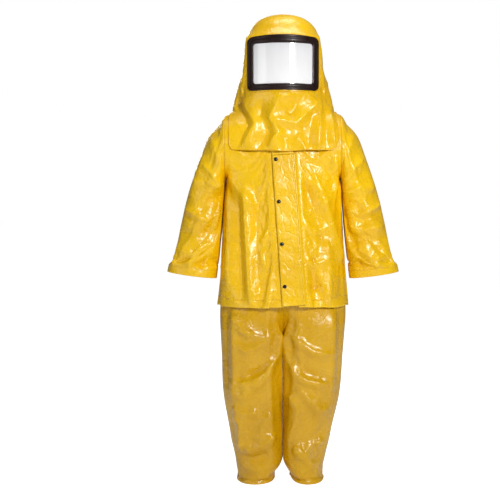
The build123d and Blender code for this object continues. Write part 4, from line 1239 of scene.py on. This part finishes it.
halves = [hood_half(False), hood_half(True)]
rows_count = halves[0].shape[0]
grid_faces = quads(rows_count, HOOD_HALF + 1, False)
hood_points = np.concatenate([half.reshape(-1, 3) for half in halves])
hood_faces = np.concatenate([grid_faces, grid_faces[:, ::-1] + rows_count * (HOOD_HALF + 1)])
i = np.arange(HOOD_HALF)
offset = rows_count * (HOOD_HALF + 1)
lid = np.stack([i, i + 1, i + 1 + offset, i + offset], -1)[1:-1]
hood_faces = np.concatenate([hood_faces, lid])
hood_points, hood_faces = weld(hood_points, hood_faces)
ends = np.sort(hood_faces, axis=1)
hood_faces = hood_faces[np.all(ends[:, 1:] != ends[:, :-1], axis=1)]
hood_faces = outward(hood_points, hood_faces, np.array([0, 0, 1.4]))
hood_points = relax(hood_points, hood_faces, 4, ease(0.03, 0.07, np.abs(hood_points[:, 2] - BELL_LOW)))
hood_points = draw_to_visor(hood_points, 0.036)

HOOD_FOLDS = [
    ([(-0.185, 1.455), (-0.170, 1.432), (-0.154, 1.389), (-0.130, 1.343), (-0.160, 1.298),
      (-0.190, 1.255)], -0.017, 0.012),
    ([(-0.158, 1.450), (-0.135, 1.405), (-0.100, 1.345), (-0.125, 1.300), (-0.150, 1.255)], 0.012, 0.012),
    ([(0.010, 1.460), (0.029, 1.452), (-0.016, 1.429), (-0.045, 1.361), (-0.016, 1.315),
      (-0.057, 1.250)], 0.016, 0.010),
    ([(-0.045, 1.361), (0.047, 1.343), (0.134, 1.431)], 0.014, 0.011),
    ([(-0.075, 1.430), (-0.082, 1.370), (-0.050, 1.310), (-0.095, 1.250)], -0.011, 0.012),
    ([(-0.030, 1.338), (0.030, 1.318), (0.095, 1.335)], -0.010, 0.012),
    ([(0.050, 1.430), (0.040, 1.390), (0.015, 1.370)], -0.007, 0.012),
    ([(-0.060, 1.458), (-0.010, 1.455), (0.035, 1.460)], 0.006, 0.006),
    ([(0.134, 1.440), (0.133, 1.35), (0.126, 1.245)], 0.010, 0.010),
    ([(0.108, 1.400), (0.100, 1.33), (0.088, 1.25)], -0.008, 0.012),
    ([(0.168, 1.430), (0.178, 1.35), (0.186, 1.255)], 0.010, 0.011),
    ([(0.152, 1.400), (0.156, 1.33), (0.158, 1.255)], -0.007, 0.011),
    ([(-0.151, 1.640), (-0.168, 1.53), (-0.186, 1.43)], 0.011, 0.010),
    ([(0.151, 1.640), (0.168, 1.53), (0.186, 1.43)], 0.011, 0.010),
    ([(-0.137, 1.480), (-0.156, 1.440), (-0.182, 1.405)], -0.009, 0.010),
    ([(0.137, 1.480), (0.156, 1.440), (0.182, 1.405)], -0.009, 0.010),
    ([(0.045, 1.300), (0.072, 1.270), (0.085, 1.240)], 0.009, 0.009),
    ([(0.000, 1.300), (0.012, 1.268), (0.006, 1.240)], -0.007, 0.010)
]
SIDE_FOLDS = [
    ([(-0.09, 1.62), (-0.08, 1.50), (-0.10, 1.41)], 0.007, 0.011),
    ([(0.00, 1.62), (0.01, 1.50), (-0.005, 1.41)], -0.006, 0.012),
    ([(0.06, 1.60), (0.075, 1.50), (0.09, 1.40)], 0.007, 0.011),
    ([(-0.05, 1.46), (0.00, 1.435), (0.06, 1.455)], 0.005, 0.009),
]


def hood_hold(points):
    hold = np.maximum(ease(1.62, 1.67, points[:, 2]), 1 - ease(0.004, 0.03, from_visor(points)))
    return np.maximum(hold, 0.05)


def tilt_folds(folds):
    return [([(-a, b - 0.01) for a, b in path], rise * 0.9, width) for path, rise, width in folds]


flat = front_flat(hood_points)
free = ease(0.003, 0.025, from_visor(hood_points))
heights = fold_heights(flat, HOOD_FOLDS) * facing(hood_points, hood_faces, True) * free
heights += fold_heights(flat, back_folds(HOOD_FOLDS)) * facing(hood_points, hood_faces, False)
side_normal = vertex_normals(hood_points, hood_faces)[:, 0]
side_flat = hood_points[:, [1, 2]]
heights += fold_heights(side_flat, SIDE_FOLDS) * ease(0.55, 0.9, side_normal)
heights += fold_heights(side_flat, tilt_folds(SIDE_FOLDS)) * ease(0.55, 0.9, -side_normal)
hood_points = crease(hood_points, hood_faces, heights * EARLY)
hood_points = drape(
    "hood_drape", hood_points, hood_faces, hood_hold(hood_points), 16, 0.012, 16, 4.0, 0.8, 0.012)
above_hem = hood_points[:, 2] - hood_points[:, 2].min()
still = np.maximum(hood_hold(hood_points), 1 - ease(0.002, 0.025, above_hem))
hood_points = relax(hood_points, hood_faces, 14, still)
hood_points = draw_to_visor(hood_points, 0.014)
middle = hood_points[hood_faces].mean(1)
line = 0.100 + (CROWN_SEAM - middle[:, 2]) * 0.05 / 0.486
sides = np.where(middle[:, 0] > 0, 3, 4)
hood_labels = np.where(np.abs(middle[:, 0]) > line, sides, np.where(middle[:, 1] < 0, 1, 2))
hood_labels = np.where(middle[:, 2] > CROWN_SEAM, 0, hood_labels)
hood_points, hood_faces, hood_labels = refine(hood_points, hood_faces, hood_labels)
heights = both_faces(hood_points, hood_faces, 41, 8, 0.11, 0.0018, 0.006, (-70, 70),
                     ((-0.2, 1.24), (0.2, 1.45)))
heights += both_faces(hood_points, hood_faces, 42, 10, 0.12, 0.0018, 0.006, (60, 120),
                      ((-0.2, 1.40), (0.2, 1.63)))
heights += folded(hood_points, hood_faces, HOOD_FOLDS) * LATE
heights += both_faces(hood_points, hood_faces, 43, 14, 0.07, 0.0012, 0.004, (-30, 30),
                      ((-0.12, 1.65), (0.12, 1.72)))
side_flat = hood_points[:, [1, 2]]
side_normal = np.abs(vertex_normals(hood_points, hood_faces)[:, 0])
sideways = crumple(side_flat, 44, 40, 0.09, 0.0028, 0.005, (-80, 80), ((-0.13, 1.38), (0.13, 1.64)))
heights += sideways * ease(0.6, 0.9, side_normal)
hood_points = crease(hood_points, hood_faces, heights * ease(0.002, 0.02, from_visor(hood_points)))
hood_points[:, 0] = np.clip(hood_points[:, 0], -0.2125, 0.2125)
depth, high = levels([(x, y + 0.004, z + 0.004) for x, y, z in YOKE], np.abs(hood_points[:, 0]))
over = np.maximum(hood_points[:, 2] - ARM_Z, 0)
inside = np.hypot(hood_points[:, 1] / depth, over / high)
on_yoke = (hood_points[:, 2] < 1.43) & (np.abs(hood_points[:, 0]) > NECK[0])
grow = np.where((inside < 1) & on_yoke, 1 / np.maximum(inside, 0.5), 1.0)
hood_points[:, 1] *= grow
hood_points[:, 2] = np.where(hood_points[:, 2] > ARM_Z, ARM_Z + over * grow, hood_points[:, 2])
hood_points = draw_to_visor(hood_points, 0.006)
middle = hood_points[hood_faces].mean(1)
behind_frame = (np.abs(middle[:, 0]) < 0.1195) & (np.abs(middle[:, 2] - VISOR_Z) < 0.0845)
behind_frame &= middle[:, 1] < 0
hood_faces, hood_labels = hood_faces[~behind_frame], hood_labels[~behind_frame]
hood_normals = vertex_normals(hood_points, hood_faces)
for label, node in enumerate(("hood_crown", "hood_bib", "hood_back", "hood_side_left", "hood_side_right")):
    panel(f"{node}_cloth", hood_points, hood_faces[hood_labels == label], yellow, "hood", [node])
seams("hood_seam", hood_points, hood_normals, hood_faces, hood_labels,
      [((0,), (1, 2, 3, 4)), ((1,), (3, 4)), ((2,), (3, 4))], yellow, "hood", 0.003, 0.0012)
hem_parts = []
for run in seam_path(hood_faces, np.zeros(len(hood_faces), int), (0,), None):
    line = hood_points[run]
    if line[:, 2].min() < 1.42:
        hem_parts.append(ribbon(line, hood_normals[run], 0.0016, 0.0011))
place("hood_hem_binding", *merged(hem_parts), yellow, "hood", slot="pvc_yellow")

# ---------------------------------------------------------------- visor


def rounded_loop(width, height, corner, count=220):
    """Points round a rectangle with rounded corners, evenly spaced, in the front view."""
    turn = np.linspace(0, 2 * np.pi, 1601)
    c, s = np.cos(turn), np.sin(turn)
    share = (np.abs(c) ** 60 + np.abs(s) ** 60) ** (-1 / 60)
    square = np.stack([share * c, share * s], -1)
    raw = square * [width / 2, height / 2]
    inner = np.clip(raw, [-(width / 2 - corner), -(height / 2 - corner)],
                    [width / 2 - corner, height / 2 - corner])
    away = raw - inner
    length = np.linalg.norm(away, axis=1, keepdims=True)
    raw = inner + away / np.maximum(length, 1e-9) * np.minimum(length, corner)
    step = np.concatenate([[0], np.cumsum(np.linalg.norm(np.diff(raw, axis=0), axis=1))])
    at = np.linspace(0, step[-1], count, endpoint=False)
    return np.stack([np.interp(at, step, raw[:, k]) for k in range(2)], -1)


def on_visor(loop, radius):
    return np.stack([loop[:, 0], VISOR_AXIS - np.sqrt(radius**2 - loop[:, 0] ** 2), VISOR_Z + loop[:, 1]], -1)


outer_loop = rounded_loop(FRAME_W, FRAME_H, 0.018)
inner_loop = rounded_loop(OPEN_W, OPEN_H, 0.009)
BAR = [(0.03, 0.1850), (0.0, 0.1856), (-0.01, 0.1872), (0.0, 0.1888), (0.05, 0.1900), (0.14, 0.1906),
       (0.24, 0.1903), (0.32, 0.1894), (0.38, 0.1892), (0.46, 0.1899), (0.60, 0.1905), (0.76, 0.1902),
       (0.88, 0.1893), (0.95, 0.1882), (1.0, 0.1870), (1.0, 0.1854), (0.97, 0.1850)]
ring = []
for share, radius in BAR:
    loop = outer_loop + (inner_loop - outer_loop) * share
    top = np.clip(outer_loop[:, 1] / (FRAME_H / 2), 0, 1) ** 6
    arch = 0.006 * top * (1 - (outer_loop[:, 0] / (FRAME_W / 2)) ** 2) * (1 - share)
    loop = loop + np.stack([0 * arch, arch], -1)
    ring.append(on_visor(loop, radius))
frame_grid = np.stack(ring, 1)
frame_faces = quads(len(outer_loop), len(BAR), True)
wrap = np.stack([np.arange(len(BAR)) + len(BAR) * (len(outer_loop) - 1),
                 (np.arange(len(BAR)) + 1) % len(BAR) + len(BAR) * (len(outer_loop) - 1),
                 (np.arange(len(BAR)) + 1) % len(BAR), np.arange(len(BAR))], -1)
frame_points = frame_grid.reshape(-1, 3)
frame_faces = np.concatenate([frame_faces, wrap])
core = frame_grid.mean(1).repeat(len(BAR), axis=0)
frame_faces = outward(frame_points, frame_faces, core)
place("visor_frame_moulding", frame_points, frame_faces, black_rubber, "hood", ["visor_frame"], "visor_black")


def visor_sheet(name, width, height, outer, inner, material, node, slot):
    """A curved clear sheet with rounded edges, as a grid over its outline."""
    u = np.linspace(-1, 1, 61)[None, :]
    v = np.linspace(-1, 1, 45)[:, None]
    x = width / 2 * u * (1 - 0.06 * np.abs(u) ** 9 * np.abs(v) ** 9) + 0 * v
    z = height / 2 * v * (1 - 0.08 * np.abs(u) ** 9 * np.abs(v) ** 9) + 0 * u
    flat = np.stack([x, z], -1).reshape(-1, 2)
    points = on_visor(flat, outer)
    faces = outward(points, quads(45, 61, False), np.array([0, 0, VISOR_Z]))
    shape, skin = solid_sheet(points, faces, outer - inner)
    return place(name, shape, skin, material, "hood", [node], slot)


visor_sheet("visor_window_film", 0.228, 0.158, 0.1847, 0.1830, film, "visor_window", "visor_clear")
stitch_loop = rounded_loop(FRAME_W + 0.011, FRAME_H + 0.011, 0.029, 400)
nearest = []
for spot in stitch_loop + [0, VISOR_Z]:
    gap = np.hypot(hood_points[:, 0] - spot[0], hood_points[:, 2] - spot[1]) + (hood_points[:, 1] > 0) * 1.0
    nearest.append(int(np.argmin(gap)))
stitch_line = np.column_stack([stitch_loop[:, 0], smooth_run(hood_points[nearest, 1][:, None], 4)[:, 0],
                               stitch_loop[:, 1] + VISOR_Z])
stitch_normal = hood_normals[nearest]
place("visor_stitching", *merged([stitch_row(stitch_line + stitch_normal * 0.0003, stitch_normal, 0.0)]),
      thread, "hood",
      slot="woven")
place("visor_piping", *merged([ribbon(np.concatenate([stitch_line, stitch_line[:1]]),
                                      np.concatenate([stitch_normal, stitch_normal[:1]]), 0.0014,
                                       0.0011)]), yellow,
      "hood", slot="pvc_yellow")

# ---------------------------------------------------------------- soft pieces of the harness and waist

turn = np.linspace(-np.pi + 0.62, -0.62, 90)
cross = np.linspace(0, 2 * np.pi, 16, endpoint=False)
low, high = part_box("sweatband")
tall = (high.z - low.z) / 2 * 0.96
pad = []
for angle in turn:
    fade = min(1.0, (angle - turn[0]) / 0.12 + 0.3, (turn[-1] - angle) / 0.12 + 0.3)
    puff = 0.0028 * fade * (1 + 0.12 * math.sin(angle * 22))
    across = -0.0004 + puff * (np.sign(np.cos(cross)) * np.abs(np.cos(cross)) ** 0.7 - 1.0)
    up = tall * np.sign(np.sin(cross)) * np.abs(np.sin(cross)) ** 0.7 * (0.8 + 0.2 * fade)
    wide, deep = 0.0779 + across, 0.1159 + across
    pad.append(np.stack([wide * math.cos(angle), 0.020 + deep * math.sin(angle),
                         (low.z + high.z) / 2 + up], -1))
pad_points = np.concatenate(pad)
pad_faces = quads(len(turn), 16, True)
pad_faces = outward(pad_points, pad_faces, np.stack(pad).mean(1).repeat(16, axis=0)).tolist()
last = 16 * (len(turn) - 1)
pad_faces += [list(range(16)), [last + k for k in range(16)][::-1]]
sweatband = place("sweatband_pad", pad_points, pad_faces, lining, "hood", ["sweatband"], "padding")

low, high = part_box("waist_elastic")
turn = np.linspace(0, 360, 361)[:-1][None, :]
rows = np.linspace(low.z + 0.0005, high.z - 0.0005, 12)[:, None]
gather = 0.0007 * np.sin(np.radians(turn) * 90) * np.sin(np.pi * (rows - low.z) / (high.z - low.z))
x, y = oval(turn, high.x - 0.0011, high.y - 0.0011, 2.3)
size = 1 + gather / 0.15
elastic = np.stack([x * size, y * size, rows + 0 * turn], -1).reshape(-1, 3)
elastic_faces = outward(elastic, quads(12, 360, True), np.array([0, 0, 1.0]))
panel("waist_elastic_cloth", elastic, elastic_faces, webbing, "trousers", ["waist_elastic"],
      0.0011, "woven")

# ---------------------------------------------------------------- carried-over parts of the harness

HARNESS = ["visor_retainer", "headband", "crown_strap_long", "crown_strap_cross", "ratchet_housing",
           "ratchet_knob", "band_tail_left", "band_tail_right"]
HARNESS += [f"harness_clip_{end}_{side}" for end in ("front", "back") for side in ("left", "right")]
finishes = {node: black_plastic for node in HARNESS}
finishes.update({"visor_seal": black_rubber, "crown_shell": shell_plastic})
for node, material in finishes.items():
    carried = frame["nodes"][node]
    for number in range(len(carried.data.materials)):
        carried.data.materials[number] = material

# ---------------------------------------------------------------- camera, light and floor

aim_z, camera_z, distance = 0.878, 1.10, 3.15
camera_data = bpy.data.cameras.new("camera")
camera_data.lens = 60
camera_data.sensor_width = 36
camera_data.shift_x = -0.066
camera = bpy.data.objects.new("camera", camera_data)
bpy.context.scene.collection.objects.link(camera)
camera.location = (0, -distance, camera_z)
camera.rotation_euler = (math.pi / 2 - math.atan2(camera_z - aim_z, distance), 0, 0)
bpy.context.scene.camera = camera


def area_light(name, location, target, size, energy):
    data = bpy.data.lights.new(name, "AREA")
    data.shape = "RECTANGLE"
    data.size, data.size_y = size
    data.energy = energy
    obj = bpy.data.objects.new(name, data)
    bpy.context.scene.collection.objects.link(obj)
    obj.location = location
    way = np.array(target) - np.array(location)
    flat_way = math.hypot(way[0], way[1])
    obj.rotation_euler = (math.atan2(flat_way, -way[2]), 0, math.atan2(-way[0], way[1]))


area_light("key", (1.15, -3.0, 2.0), (0, 0, 0.95), (0.45, 0.45), 74)
area_light("fill", (-2.5, -2.2, 1.3), (0, 0, 0.9), (1.2, 2.0), 14)
area_light("top", (0.1, -0.2, 3.3), (0, 0, 1.0), (1.4, 1.0), 24)
area_light("back", (-0.6, 2.8, 2.1), (0, 0, 1.0), (1.6, 1.4), 34)

world = bpy.data.worlds.new("studio")
world.use_nodes = True
world_tree = world.node_tree
soft_sky = world_tree.nodes["Background"]
soft_sky.inputs["Color"].default_value = (1, 1, 1, 1)
soft_sky.inputs["Strength"].default_value = 0.13
white_sky = world_tree.nodes.new("ShaderNodeBackground")
white_sky.inputs["Color"].default_value = (1, 1, 1, 1)
white_sky.inputs["Strength"].default_value = 1.0
sky_mix = world_tree.nodes.new("ShaderNodeMixShader")
seen = world_tree.nodes.new("ShaderNodeLightPath").outputs["Is Camera Ray"]
world_tree.links.new(seen, sky_mix.inputs["Fac"])
world_tree.links.new(soft_sky.outputs[0], sky_mix.inputs[1])
world_tree.links.new(white_sky.outputs[0], sky_mix.inputs[2])
world_tree.links.new(sky_mix.outputs[0], world_tree.nodes["World Output"].inputs["Surface"])
bpy.context.scene.world = world
bpy.context.scene.view_settings.view_transform = "Standard"

FLOOR = np.linspace(-24, 24, 13)
floor_points = np.array([[(across, y, 0.0) for y in FLOOR] for across in FLOOR])[::-1].reshape(-1, 3)
floor_mesh = bpy.data.meshes.new("floor")
floor_mesh.from_pydata((floor_points - [0, 0, 0.0006]).tolist(), [], quads(13, 13, False).tolist())
floor = bpy.data.objects.new("floor", floor_mesh)
bpy.context.scene.collection.objects.link(floor)
paper, paper_tree, paper_shader = new_material("floor_paper")
paper_tree.links.new(
    ramp(paper_tree, noise(paper_tree, object_coords(paper_tree), 3.0),
         [(0.3, (0.93, 0.93, 0.93)), (0.7, (0.96, 0.96, 0.96))]),
    paper_shader.inputs["Base Color"],
)
paper_shader.inputs["Roughness"].default_value = 0.8
paper_shader.inputs["Emission Color"].default_value = (1, 1, 1, 1)
glow = add_node(paper_tree, "Math", operation="MULTIPLY")
paper_tree.links.new(add_node(paper_tree, "LightPath").outputs["Is Camera Ray"], glow.inputs[0])
glow.inputs[1].default_value = 0.88
paper_tree.links.new(glow.outputs[0], paper_shader.inputs["Emission Strength"])
floor_mesh.materials.append(paper)
